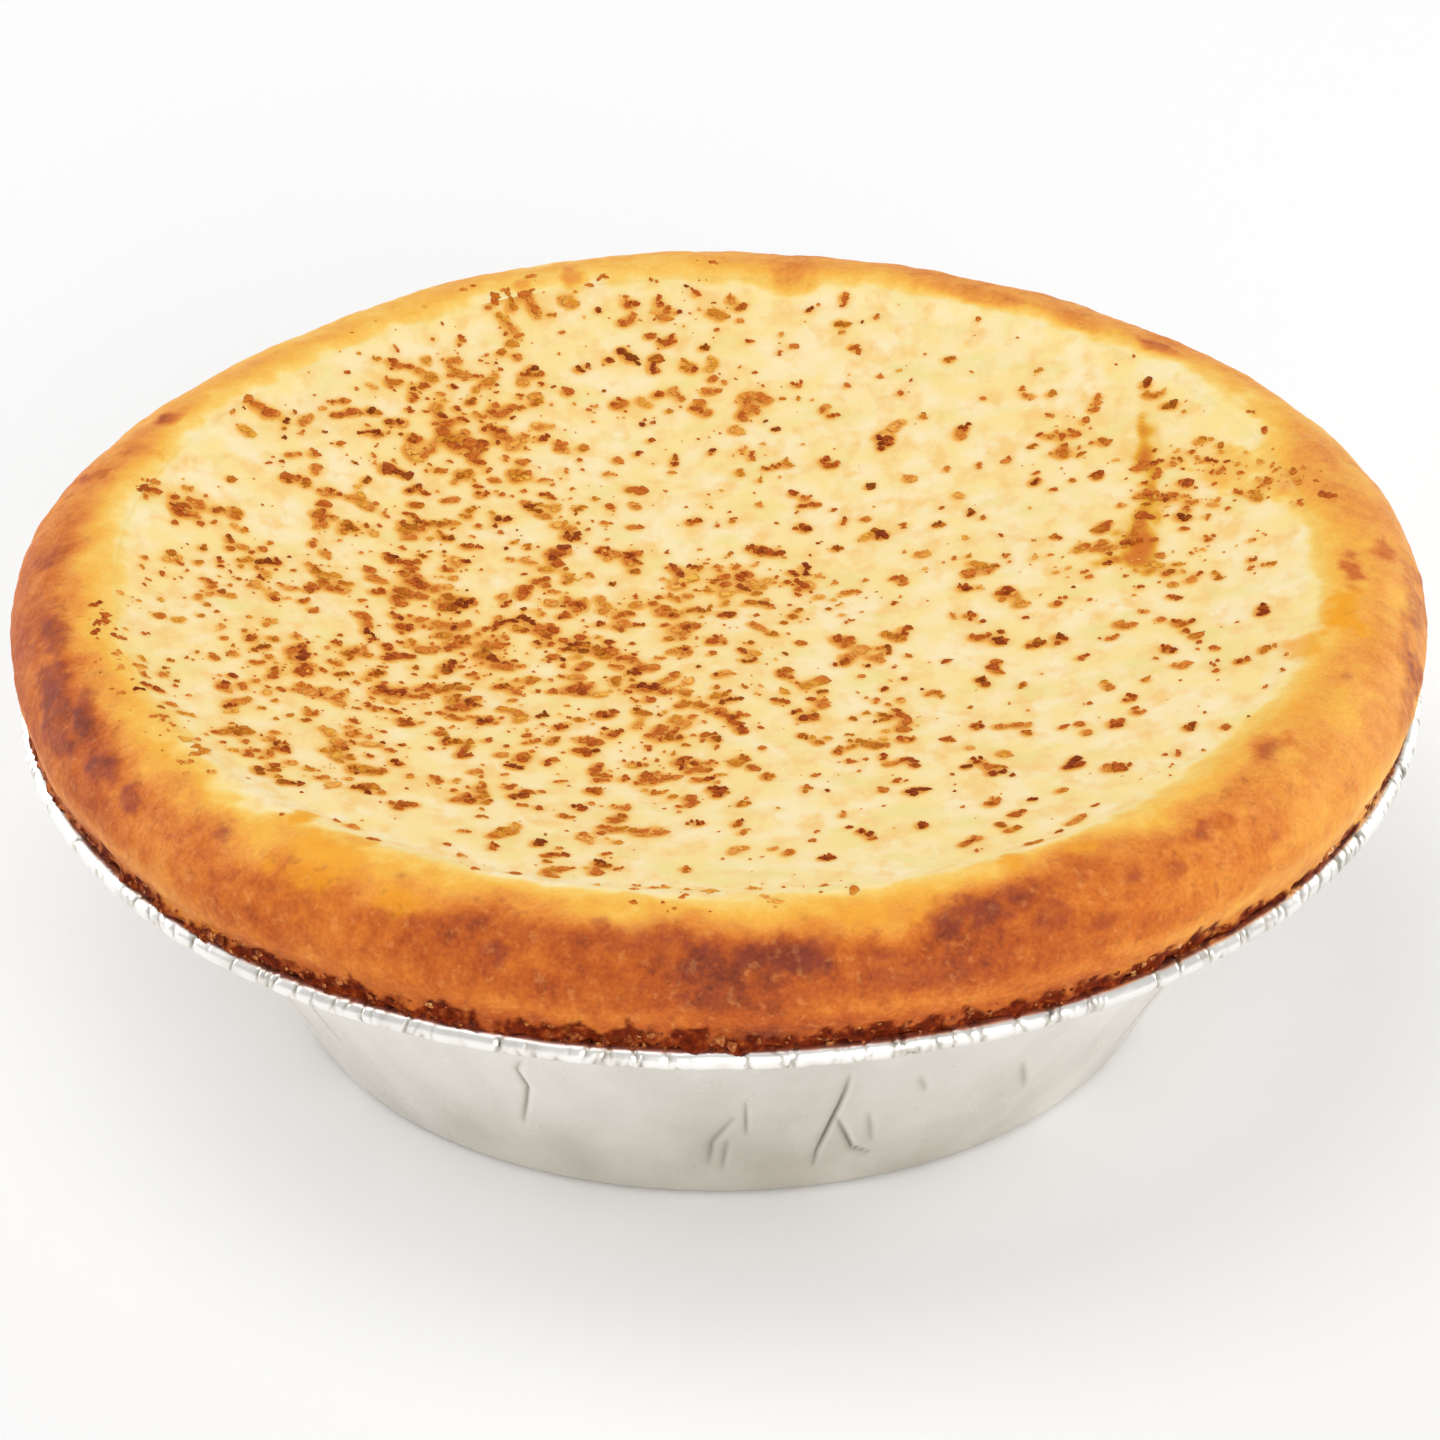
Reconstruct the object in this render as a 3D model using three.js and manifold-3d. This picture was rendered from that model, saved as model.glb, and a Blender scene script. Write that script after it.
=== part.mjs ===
// A small milk tart: baked custard in a thick pastry shell, dusted with cinnamon, in its own foil pie dish.
// Millimetres, +Z up. The origin is the middle of the dish's flat underside, and the front of the tart faces -Y.
// Each round piece is a lathe turned round Z, whose points are then moved a little, as baked food is uneven.

import * as THREE from "three";
import { mergeVertices } from "three/addons/utils/BufferGeometryUtils.js";
import Module from "manifold-3d";

const FULL_TURN = 2 * Math.PI;
const GAP = 0.3; // free space kept between two pieces that touch in the real tart
const SQUARENESS = 0.005; // share by which the tart, seen from above, is longer on its diagonals
const ROUND_STEPS = 96; // sides of the dish and of the shell
const CUSTARD_STEPS = 64;

// Foil dish: a flat base, a straight flared wall, a level flange and a rolled rim.
const FOIL_THICKNESS = 0.35;
const RIM_RADIUS = 64.3;
const ROLL_RADIUS = 1; // section of the rolled edge
const FLANGE_HEIGHT = 30.3; // top face of the flange, level with the middle of the roll
const BASE_RADIUS = 40.7; // where the round of the base meets the wall
const BASE_ROUND = 1.7;
const WALL_TOP_RADIUS = 56.7;
const WALL_TOP_HEIGHT = 28.8;
const WALL_BEND = 1.5; // width of the bend from the wall to the flange
const RIM_WAVE = 0.12; // the thin rim is a little bent up and down

// Pastry shell: it lines the dish, lies on the flange and swells over it in a fat round lip.
const FOOT_RADIUS = 61.4; // where the lip meets the flange
const LIP_RADIUS = 64.5; // widest place
const LIP_HEIGHT = 35.9; // height of that place
const CROWN_RADIUS = 56.8; // top of the lip
const CROWN_HEIGHT = 42.2;
const CROWN_TURN = 100; // degrees that the upper half of the lip's section turns, from its widest place
const SHELL_BASE_THICKNESS = 4;
const SHELL_INNER_BASE_RADIUS = 36;
const LIP_WANDER = 1.26; // how far the lip swells in and out round the tart
const CROWN_WANDER = 0.55;
const FOOT_WANDER = 0.5; // the foot has run out unevenly over the flange
const CRAG_SIZE = 0.3; // height of the small lumps of the crust
const CRAGS = [
  { round: 23, along: 5.1, share: 0.6 },
  { round: 41, along: -9.2, share: 0.4 },
];

// Custard: it fills the shell, sinks towards the middle and rises to the pastry.
const BORDER_RADIUS = 54.3; // line where custard meets pastry
const BORDER_WANDER = 0.75;
const BORDER_HEIGHT = 41.1;
const BORDER_EDGE = 1.2; // height of the custard's upright edge
const DISH_DEPTH = 5.2; // the middle lies this far under the border
const DISH_POWER = 2.3;
const SKIN_WAVE = 0.16; // height of the soft waves of the baked skin
const SKIN_WAVES = [
  { x: 0.16, y: 0.09, shift: 1.1 },
  { x: -0.12, y: 0.21, shift: 2.3 },
  { x: 0.33, y: 0, shift: -0.4 },
];
const CUSTARD_RINGS = [1, 0.975, 0.9, 0.76, 0.6, 0.44, 0.28, 0.13]; // shares of the border's radius

// Cinnamon: flakes shaken over the custard, more thickly in some places than in others.
const FLAKE_COUNT = 160;
const FLAKE_TRIES = 9000;
const FLAKE_FIELD_RADIUS = 50.5;
const LONGEST_FLAKE = 2; // half of its length
const SHORTEST_FLAKE = 0.85;
const FLAKE_WIDTH_SHARE = 0.68;
const FLAKE_SIDES = 5;
const FLAKE_UNEVENNESS = 0.3; // share by which the corners of a flake lie nearer or farther
const FLAKE_RISE = 0.4; // height over the custard, and depth in it
const FLAKE_TOP_SHARE = 0.7; // its upper face against its foot
const FLAKE_SPACING = 0.3; // clear custard between two flakes
const FLAKE_SEED = 2718;
const EVEN_DUSTING = 0.13;
const SHAKES = [
  { x: -27, y: -18, spread: 20, weight: 1.0 },
  { x: -8, y: -24, spread: 15, weight: 0.75 },
  { x: -27, y: 29, spread: 9.5, weight: 1.0 },
  { x: -24, y: 8, spread: 15, weight: 0.62 },
  { x: 2, y: 1, spread: 11, weight: 0.62 },
  { x: -5, y: 45, spread: 6, weight: 0.7 },
  { x: 25, y: 24, spread: 10, weight: 0.34 },
  { x: 39, y: 6, spread: 7, weight: 0.42 },
  { x: 30, y: -16, spread: 13, weight: 0.26 },
];

const FOIL = new THREE.MeshStandardMaterial({ color: 0xcfcabf, roughness: 0.36, metalness: 1 });
const PASTRY = new THREE.MeshStandardMaterial({ color: 0xd8863c, roughness: 0.72, metalness: 0 });
const CUSTARD = new THREE.MeshStandardMaterial({ color: 0xf2dc98, roughness: 0.42, metalness: 0 });

const solids = await Module();
solids.setup();

// Draws numbers from 0 to 1, always the same ones for a seed.
function seededDraw(seed) {
  const range = 2 ** 32;
  const multiplier = 1664525;
  const increment = 1013904223;
  let state = seed;
  return () => {
    state = (state * multiplier + increment) % range;
    return state / range;
  };
}

// A closed wave round the tart, from -1 to 1: a sum of whole waves with seeded sizes and phases.
function waveRound(seed, fewest, most) {
  const draw = seededDraw(seed);
  const waves = [];
  let total = 0;
  for (let count = fewest; count <= most; count += 1) {
    const size = (0.5 + draw()) / Math.sqrt(count);
    waves.push({ count, size, phase: draw() * FULL_TURN });
    total += size;
  }
  const at = (wave, angle) => wave.size * Math.cos(wave.count * angle + wave.phase);
  return (angle) => waves.reduce((sum, wave) => sum + at(wave, angle), 0) / total;
}

const rimWave = waveRound(41, 2, 5);
const footWave = waveRound(5, 4, 22);
const lipWave = waveRound(5235, 2, 7);
const crownWave = waveRound(23, 2, 8);
const borderWave = waveRound(37, 3, 16);

// Small lumps, from -1 to 1, that change round the tart and from point to point of the lip's section.
function cragAt(angle, along) {
  return CRAGS.reduce((sum, crag) => sum + crag.share * Math.cos(crag.round * angle + crag.along * along), 0);
}

// The dish has been bent a little out of round, and all that lies in it has the same outline from above.
function planShare(angle) {
  return 1 + (SQUARENESS * (1 - Math.cos(4 * angle))) / 2;
}

// Height of the custard's skin: a shallow dish with soft waves that fade out at the border.
function custardHeight(x, y) {
  const share = Math.min(1, Math.hypot(x, y) / BORDER_RADIUS);
  const waves = SKIN_WAVES.reduce((sum, wave) => sum + Math.cos(wave.x * x + wave.y * y + wave.shift), 0);
  const fade = 1 - share ** 4;
  return BORDER_HEIGHT - DISH_DEPTH * (1 - share ** DISH_POWER) + SKIN_WAVE * waves * fade;
}

// Turns a profile of {r, z} points round Z, then moves each point as place(angle, point, index) says.
function turned(profile, steps, place) {
  const outline = profile.map((point) => new THREE.Vector2(point.r, point.z));
  const lathe = new THREE.LatheGeometry(outline, steps);
  const position = lathe.getAttribute("position");
  for (let step = 0; step <= steps; step += 1) {
    const angle = ((step % steps) / steps) * FULL_TURN - FULL_TURN / 4;
    profile.forEach((point, index) => {
      const { r, z } = point.r === 0 ? point : place(angle, point, index);
      const reach = r * planShare(angle);
      position.setXYZ(step * profile.length + index, reach * Math.cos(angle), reach * Math.sin(angle), z);
    });
  }
  return lathe;
}

// A closed geometry as a solid that can be joined to others, without the empty faces at the axis of a lathe.
function toSolid(geometry) {
  const bare = new THREE.BufferGeometry();
  bare.setAttribute("position", geometry.getAttribute("position"));
  bare.setIndex(geometry.index);
  const merged = mergeVertices(bare, 1e-4);
  const faces = [];
  for (let first = 0; first < merged.index.count; first += 3) {
    const [a, b, c] = [0, 1, 2].map((corner) => merged.index.getX(first + corner));
    if (a !== b && b !== c && c !== a) {
      faces.push(a, b, c);
    }
  }
  const vertProperties = merged.getAttribute("position").array;
  return new solids.Manifold(new solids.Mesh({ numProp: 3, vertProperties, triVerts: new Uint32Array(faces) }));
}

function named(name, solid, material) {
  const { vertProperties, triVerts } = solid.getMesh();
  const geometry = new THREE.BufferGeometry();
  geometry.setAttribute("position", new THREE.BufferAttribute(vertProperties, 3));
  geometry.setIndex(new THREE.BufferAttribute(triVerts, 1));
  geometry.computeVertexNormals();
  const mesh = new THREE.Mesh(geometry, material);
  mesh.name = name;
  return mesh;
}

// Points on an arc of an ellipse, from one angle to another in degrees.
function arc(centre, halfWidth, halfHeight, from, to, count) {
  return Array.from({ length: count }, (_, step) => {
    const angle = THREE.MathUtils.degToRad(from + ((to - from) * step) / (count - 1));
    return { r: centre.r + halfWidth * Math.cos(angle), z: centre.z + halfHeight * Math.sin(angle) };
  });
}

function foilDish() {
  const roundCentre = { r: BASE_RADIUS - BASE_ROUND, z: BASE_ROUND };
  const rollCentre = { r: RIM_RADIUS - ROLL_RADIUS, z: FLANGE_HEIGHT };
  const innerRound = BASE_ROUND - FOIL_THICKNESS;
  const profile = [
    { r: 0, z: 0 },
    ...arc(roundCentre, BASE_ROUND, BASE_ROUND, -90, -15, 3),
    { r: WALL_TOP_RADIUS, z: WALL_TOP_HEIGHT },
    { r: WALL_TOP_RADIUS + WALL_BEND, z: FLANGE_HEIGHT - FOIL_THICKNESS },
    ...arc(rollCentre, ROLL_RADIUS, ROLL_RADIUS, -135, 180, 8),
    { r: WALL_TOP_RADIUS + WALL_BEND - FOIL_THICKNESS, z: FLANGE_HEIGHT },
    { r: WALL_TOP_RADIUS - FOIL_THICKNESS, z: WALL_TOP_HEIGHT },
    ...arc(roundCentre, innerRound, innerRound, -15, -90, 2),
    { r: 0, z: FOIL_THICKNESS },
  ];
  const place = (angle, point) => {
    const lift = Math.max(0, point.z - WALL_TOP_HEIGHT / 2) / FLANGE_HEIGHT;
    return { r: point.r, z: point.z + lift * RIM_WAVE * rimWave(angle) };
  };
  return toSolid(turned(profile, ROUND_STEPS, place));
}

function pastryShell() {
  const floor = FOIL_THICKNESS + GAP;
  const custardFloor = floor + SHELL_BASE_THICKNESS;
  const flangeFace = FLANGE_HEIGHT + GAP + RIM_WAVE;
  const lipCentre = { r: CROWN_RADIUS, z: LIP_HEIGHT };
  const lipWidth = LIP_RADIUS - CROWN_RADIUS;
  const footTurn = THREE.MathUtils.radToDeg(Math.acos((FOOT_RADIUS - CROWN_RADIUS) / lipWidth));
  const lowerHeight = (LIP_HEIGHT - flangeFace) / Math.sin(THREE.MathUtils.degToRad(footTurn));
  const upperHeight = CROWN_HEIGHT - LIP_HEIGHT;
  const lining = [
    { r: 0, z: floor },
    { r: BASE_RADIUS - BASE_ROUND - GAP, z: floor },
    { r: BASE_RADIUS - FOIL_THICKNESS - GAP, z: BASE_ROUND + GAP },
    { r: WALL_TOP_RADIUS - FOIL_THICKNESS - GAP, z: WALL_TOP_HEIGHT },
    { r: WALL_TOP_RADIUS + WALL_BEND - 2 * GAP, z: flangeFace },
  ];
  const lip = [
    ...arc(lipCentre, lipWidth, lowerHeight, -footTurn, -footTurn / 3, 3),
    ...arc(lipCentre, lipWidth, upperHeight, 0, CROWN_TURN, 9),
  ];
  const inside = [
    { r: BORDER_RADIUS + GAP / 2, z: BORDER_HEIGHT + GAP },
    { r: BORDER_RADIUS + GAP / 2, z: BORDER_HEIGHT - BORDER_EDGE },
    { r: SHELL_INNER_BASE_RADIUS + GAP / 2, z: custardFloor },
    { r: 0, z: custardFloor },
  ];
  const placeLip = (angle, point, along) => {
    const up = (point.z - flangeFace) / (CROWN_HEIGHT - flangeFace);
    const swell = Math.min(1, 2 * up);
    const outwards = Math.atan2(point.z - lipCentre.z, point.r - lipCentre.r);
    const lump = CRAG_SIZE * cragAt(angle, along) * swell;
    const wander = LIP_WANDER * lipWave(angle) * swell + FOOT_WANDER * footWave(angle) * (1 - swell);
    return {
      r: point.r + wander + lump * Math.cos(outwards),
      z: point.z + up * CROWN_WANDER * crownWave(angle) + lump * Math.sin(outwards),
    };
  };
  const placeInside = (angle, point) => {
    const share = (point.z - custardFloor) / (BORDER_HEIGHT - BORDER_EDGE - custardFloor);
    return { r: point.r + Math.min(1, share) * BORDER_WANDER * borderWave(angle), z: point.z };
  };
  const place = (angle, point, index) => {
    const along = index - lining.length;
    if (along < 0) {
      return point;
    }
    return along < lip.length ? placeLip(angle, point, along) : placeInside(angle, point);
  };
  return toSolid(turned([...lining, ...lip, ...inside], ROUND_STEPS, place));
}

function custardBody() {
  const floor = FOIL_THICKNESS + SHELL_BASE_THICKNESS + 2 * GAP;
  const reach = BORDER_RADIUS - GAP / 2;
  const below = [
    { r: 0, z: floor },
    { r: SHELL_INNER_BASE_RADIUS - GAP / 2, z: floor },
    { r: reach, z: BORDER_HEIGHT - BORDER_EDGE },
  ];
  const skin = CUSTARD_RINGS.map((share) => ({ r: share * reach, z: BORDER_HEIGHT }));
  const middle = { r: 0, z: custardHeight(0, 0) };
  const place = (angle, point, index) => {
    if (point.z === floor) {
      return point;
    }
    const r = point.r * (1 + (BORDER_WANDER * borderWave(angle)) / reach);
    return { r, z: index < below.length ? point.z : custardHeight(r * Math.cos(angle), r * Math.sin(angle)) };
  };
  return toSolid(turned([...below, ...skin, middle], CUSTARD_STEPS, place));
}

// How thickly cinnamon lies here, from 0 to 1: an even dusting and the sum of the shakes.
function dustingAt(x, y) {
  const thickness = SHAKES.reduce((sum, shake) => {
    const away = ((x - shake.x) ** 2 + (y - shake.y) ** 2) / shake.spread ** 2;
    return sum + shake.weight * Math.exp(-away);
  }, EVEN_DUSTING);
  return Math.min(1, thickness);
}

// Places the flakes, the longest first: seeded tries, kept by the dusting, none touching another.
function flakePlaces() {
  const draw = seededDraw(FLAKE_SEED);
  const kept = [];
  for (let attempt = 0; attempt < FLAKE_TRIES && kept.length < FLAKE_COUNT; attempt += 1) {
    const x = (2 * draw() - 1) * FLAKE_FIELD_RADIUS;
    const y = (2 * draw() - 1) * FLAKE_FIELD_RADIUS;
    const turn = draw() * Math.PI;
    const half = LONGEST_FLAKE - (LONGEST_FLAKE - SHORTEST_FLAKE) * Math.sqrt(kept.length / FLAKE_COUNT);
    const wanted = Math.hypot(x, y) < FLAKE_FIELD_RADIUS && draw() < dustingAt(x, y);
    const free = kept.every((other) => Math.hypot(other.x - x, other.y - y) > other.half + half + FLAKE_SPACING);
    if (wanted && free) {
      kept.push({ x, y, turn, half });
    }
  }
  return kept;
}

// One flake: a flat chip with an uneven outline and slanted sides, sunk into the custard to half its height.
function flakeSolid(flake, draw) {
  const corners = Array.from({ length: FLAKE_SIDES }, (_, side) => {
    const angle = ((side + draw() / 2) / FLAKE_SIDES) * FULL_TURN;
    const reach = flake.half * (1 + FLAKE_UNEVENNESS * (draw() - 0.5));
    return new THREE.Vector2(reach * Math.cos(angle), reach * FLAKE_WIDTH_SHARE * Math.sin(angle));
  });
  const chip = new THREE.ExtrudeGeometry(new THREE.Shape(corners), { depth: 2 * FLAKE_RISE, bevelEnabled: false });
  const position = chip.getAttribute("position");
  for (let corner = 0; corner < position.count; corner += 1) {
    const share = position.getZ(corner) > 0 ? FLAKE_TOP_SHARE : 1;
    position.setXY(corner, share * position.getX(corner), share * position.getY(corner));
  }
  chip.rotateZ(flake.turn);
  chip.translate(flake.x, flake.y, custardHeight(flake.x, flake.y) - FLAKE_RISE);
  return toSolid(chip);
}

function dustedCustard() {
  const draw = seededDraw(FLAKE_SEED + 1);
  const flakes = flakePlaces().map((flake) => flakeSolid(flake, draw));
  return solids.Manifold.union([custardBody(), ...flakes]);
}

const tart = new THREE.Group();
tart.add(named("foil_dish", foilDish(), FOIL));
tart.add(named("pastry_shell", pastryShell(), PASTRY));
tart.add(named("custard", dustedCustard(), CUSTARD));

export default tart;
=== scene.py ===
"""A small milk tart in its foil dish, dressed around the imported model. Metres, +Z up, front towards -Y.

The shapes are worked out in millimetres, as the part's source does, and become metres in the mesh.
"""

import math

import bpy
import numpy as np
from mathutils import Matrix, Vector, noise
from mathutils.bvhtree import BVHTree


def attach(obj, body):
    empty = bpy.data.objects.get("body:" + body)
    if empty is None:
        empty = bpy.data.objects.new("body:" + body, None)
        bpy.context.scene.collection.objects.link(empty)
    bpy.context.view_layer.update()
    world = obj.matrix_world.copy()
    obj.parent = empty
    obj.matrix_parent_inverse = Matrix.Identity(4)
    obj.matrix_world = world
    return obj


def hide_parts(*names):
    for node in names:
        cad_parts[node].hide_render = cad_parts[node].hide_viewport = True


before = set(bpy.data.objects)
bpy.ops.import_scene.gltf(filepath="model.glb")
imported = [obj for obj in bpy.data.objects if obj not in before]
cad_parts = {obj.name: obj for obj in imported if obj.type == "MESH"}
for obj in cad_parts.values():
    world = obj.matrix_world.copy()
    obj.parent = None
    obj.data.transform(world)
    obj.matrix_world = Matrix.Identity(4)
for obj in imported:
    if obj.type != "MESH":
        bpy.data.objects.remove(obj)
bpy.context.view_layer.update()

# Foil dish
# Pressed from thin aluminium foil: a flat base and a straight flared wall, which the pastry fills.
# Handling has left creases and shallow dents in the wall.

MM = 0.001
FULL_TURN = 2 * math.pi
SQUARENESS = 0.005
WALL_STEPS = 520
FOIL_THICKNESS = 0.35
FLANGE_HEIGHT = 30.3
BASE_RADIUS = 40.7
BASE_ROUND = 1.7
WALL_TOP_RADIUS = 56.7
WALL_TOP_HEIGHT = 28.8
WALL_BEND = 1.5
RIM_WAVE = 0.12
DENT_SIZE = 17
DENT_DEPTH = 0.16
FLUTE_DEPTH = 0.035
FOIL_SEAM_OUT = 0.1

# Dents and creases fade out towards the base and towards the rim, between these heights.
DENTED_FROM = (0.2, 4.5)
DENTED_TO = (24.5, 28.6)

# Near a crease the mesh has a bearing every CREASE_STEP, up to CREASE_REACH beyond it, both in degrees.
# A crease is worked out in mm along the wall's middle, and the lip beside its valley is a share of its depth.
CREASE_REACH = 1.5
CREASE_STEP = 0.15
CREASE_ZONE = math.radians(9)
WALL_MIDDLE_RADIUS = 50
CREASE_LIP = 0.26

# The foil's tone, from 0 dark to 1 bright, with light and shade painted in: on the plain wall, the painted
# shade or highlight that a crease or dent adds for each mm of depth, and how much brighter the wall is
# painted at its top, with painted shade towards its base. Round one bearing a darker reflection is painted
# in.
WALL_TONE = 0.485
CREASE_PAINTED_SHADE = 1.3
DENT_PAINTED_SHADE = 0.2
PAINTED_LIGHT_TO_RIM = 0.12
DARK_REFLECTION_BEARING = math.radians(-86)
DARK_REFLECTION_HALF_WIDTH = 0.6
PAINTED_DARK_REFLECTION = 0.075
FOIL_TONES = [(0.1, (116, 112, 104)), (0.38, (208, 203, 192)), (0.5, (238, 234, 226)), (0.6, (254, 252, 247))]

# Each crease is a path of (bearing in degrees, height in mm), its half width and its depth in mm.
CREASES = [
    ([(-110.0, 20.9), (-111.1, 18.9), (-110.7, 16.1), (-111.5, 13.7), (-113.4, 9.2)], 0.22, 0.33),
    ([(-137.5, 21.0), (-138.6, 15.2), (-137.9, 10.4)], 0.22, 0.17),
    ([(-88.0, 16.6), (-87.8, 10.3)], 0.19, 0.19),
    ([(-77.8, 19.8), (-77.8, 16.9), (-78.1, 14.3), (-78.7, 10.9), (-79.5, 6.7), (-79.6, 3.9)], 0.22, 0.33),
    ([(-78.2, 12.6), (-77.6, 11.3), (-75.3, 6.7), (-72.5, 5.1)], 0.23, 0.31),
    ([(-89.0, 13.9), (-91.6, 9.5), (-92.2, 5.2)], 0.3, 0.17),
    ([(-89.9, 9.8), (-90.6, 4.6)], 0.26, 0.14),
    ([(-74.6, 12.7), (-73.0, 7.0)], 0.28, 0.14),
    ([(-57.1, 14.4), (-53.7, 8.9)], 0.33, 0.14),
    ([(-70.1, 17.3), (-68.5, 14.2)], 0.28, 0.14),
    ([(-33.0, 24.5), (-34.2, 18.0), (-33.1, 11.6), (-35.0, 5.1)], 0.25, 0.31),
    ([(-9.0, 19.0), (-7.6, 12.0)], 0.22, 0.19),
    ([(12.0, 25.2), (13.7, 17.0), (12.6, 9.9), (14.4, 6.0)], 0.25, 0.34),
    ([(46.0, 21.2), (44.6, 13.3)], 0.22, 0.21),
    ([(68.0, 26.0), (69.2, 19.1), (67.8, 12.0)], 0.25, 0.34),
    ([(70.0, 17.1), (72.9, 11.0), (74.9, 8.3)], 0.22, 0.22),
    ([(101.0, 18.2), (102.6, 8.1)], 0.22, 0.19),
    ([(127.0, 24.0), (125.5, 17.7), (126.6, 10.1), (124.7, 4.4)], 0.25, 0.34),
    ([(156.0, 16.3), (158.4, 9.0)], 0.22, 0.19),
    ([(191.0, 22.3), (189.2, 15.0), (190.6, 8.4)], 0.23, 0.31),
    ([(214.0, 15.2), (216.0, 7.9)], 0.22, 0.17),
]


def seeded_draw(seed):
    """Draws numbers from 0 to 1, always the same ones for a seed."""
    state = seed

    def draw():
        nonlocal state
        state = (state * 1664525 + 1013904223) % 2**32
        return state / 2**32

    return draw


def wave_round(seed, fewest, most):
    """A closed wave round the tart, from -1 to 1: whole waves with seeded sizes and phases."""
    draw = seeded_draw(seed)
    waves = []
    for count in range(fewest, most + 1):
        size = (0.5 + draw()) / math.sqrt(count)
        waves.append((count, size, draw() * FULL_TURN))
    total = sum(size for _, size, _ in waves)

    def wave(angle):
        return sum(size * np.cos(count * angle + phase) for count, size, phase in waves) / total

    return wave


def plan_share(angle):
    """The dish is bent a little out of round: its reach at a bearing, against a true circle."""
    return 1 + SQUARENESS * (1 - np.cos(4 * angle)) / 2


def arc(centre, half_width, half_height, start, end, count):
    """Points (r, z) on an arc of an ellipse, from one angle to another in degrees."""
    angles = np.radians(np.linspace(start, end, count))
    r = centre[0] + half_width * np.cos(angles)
    z = centre[1] + half_height * np.sin(angles)
    return np.stack([r, z], axis=1)


def line(start, end, count):
    """Points (r, z) from start to end, without the end."""
    return np.linspace(start, end, count, endpoint=False)


def turn_from(angles, bearing):
    """How far bearings are turned away from one of them, from -pi to pi."""
    return (angles - bearing + math.pi) % FULL_TURN - math.pi


def soft_noise(points, size, seed):
    """A soft random value from -1 to 1 at each point, which changes over about size mm."""
    shift = Vector((7.3, 3.1, 5.7)) * seed
    flat = points.reshape(-1, 3) / size
    return np.array([noise.noise(Vector(point) + shift) for point in flat]).reshape(points.shape[:-1])


def layered_noise(points, layers):
    """A sum of soft noises. Each layer is its strength, the size in mm that it changes over, and a seed."""
    return sum(strength * soft_noise(points, size, seed) for strength, size, seed in layers)


def smooth_step(value, low, high):
    """0 below low, 1 above high, and a smooth rise between them."""
    share = np.clip((value - low) / (high - low), 0, 1)
    return share * share * (3 - 2 * share)


def spun(profile, steps):
    """A section as r and z, each with a row for each of its points and a column for each bearing."""
    return profile[:, :1] + np.zeros(steps), profile[:, 1:] + np.zeros(steps)


def ring_points(angles, r, z):
    """Places in mm of rings of points, from r and z."""
    reach = r * plan_share(angles)
    return np.stack([reach * np.cos(angles), reach * np.sin(angles), z + np.zeros_like(reach)], axis=-1)


def new_piece(name, points, faces):
    """A smoothly shaded piece from points in mm and faces."""
    mesh = bpy.data.meshes.new(name)
    mesh.from_pydata((points * MM).tolist(), [], faces)
    mesh.shade_smooth()
    piece = bpy.data.objects.new(name, mesh)
    bpy.context.collection.objects.link(piece)
    return piece


def turned_piece(name, rings, poles=None):
    """A closed piece from rings of points. It ends on the axis at two heights, or else closes on itself."""
    count, steps = rings.shape[:2]
    points = rings.reshape(-1, 3)
    index = np.arange(count * steps).reshape(count, steps)
    lower, upper = (index, np.roll(index, -1, axis=0)) if poles is None else (index[:-1], index[1:])
    lower_after, upper_after = np.roll(lower, -1, axis=1), np.roll(upper, -1, axis=1)
    faces = np.stack([lower, lower_after, upper_after, upper], axis=-1).reshape(-1, 4).tolist()
    if poles is not None:
        first, last = len(points), len(points) + 1
        points = np.concatenate([points, [[0, 0, poles[0]], [0, 0, poles[1]]]])
        after = np.roll(index, -1, axis=1)
        faces += [[first, b, a] for a, b in zip(index[0].tolist(), after[0].tolist())]
        faces += [[last, a, b] for a, b in zip(index[-1].tolist(), after[-1].tolist())]
    return new_piece(name, points, faces)


def paint(piece, name, values):
    """Gives each point of a piece a value that its material reads by name. A pole gets its ring's mean."""
    filled = np.zeros(len(piece.data.vertices), dtype=np.float32)
    filled[: values.size] = values.ravel()
    if values.size < filled.size:
        filled[values.size] = values[0].mean()
        filled[values.size + 1] = values[-1].mean()
    layer = piece.data.attributes.new(name, "FLOAT", "POINT")
    layer.data.foreach_set("value", filled)


def fold(path, half_width, depth, across, up):
    """How far a crease moves the wall outwards: a sharp valley with a raised lip on one side."""
    nearest = np.full(across.shape, np.inf)
    side, progress, travelled = np.zeros(across.shape), np.zeros(across.shape), 0.0
    for (start_across, start_up), (end_across, end_up) in zip(path, path[1:]):
        run, rise = end_across - start_across, end_up - start_up
        length = math.hypot(run, rise)
        share = np.clip(((across - start_across) * run + (up - start_up) * rise) / length**2, 0, 1)
        away_across = across - start_across - share * run
        away_up = up - start_up - share * rise
        distance = np.hypot(away_across, away_up)
        closer = distance < nearest
        side = np.where(closer, (run * away_up - rise * away_across) / length, side)
        progress = np.where(closer, travelled + share * length, progress)
        nearest = np.minimum(nearest, distance)
        travelled += length
    taper = np.sin(np.pi * np.clip(progress / travelled, 0.0, 1.0)) ** 0.6
    valley = np.exp(-nearest / half_width)
    beside = np.exp(-(((side - 1.8 * half_width) / (1.5 * half_width)) ** 2))
    lip = beside * np.exp(-((nearest / (4 * half_width)) ** 4))
    return depth * taper * (CREASE_LIP * lip - valley)


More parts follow.
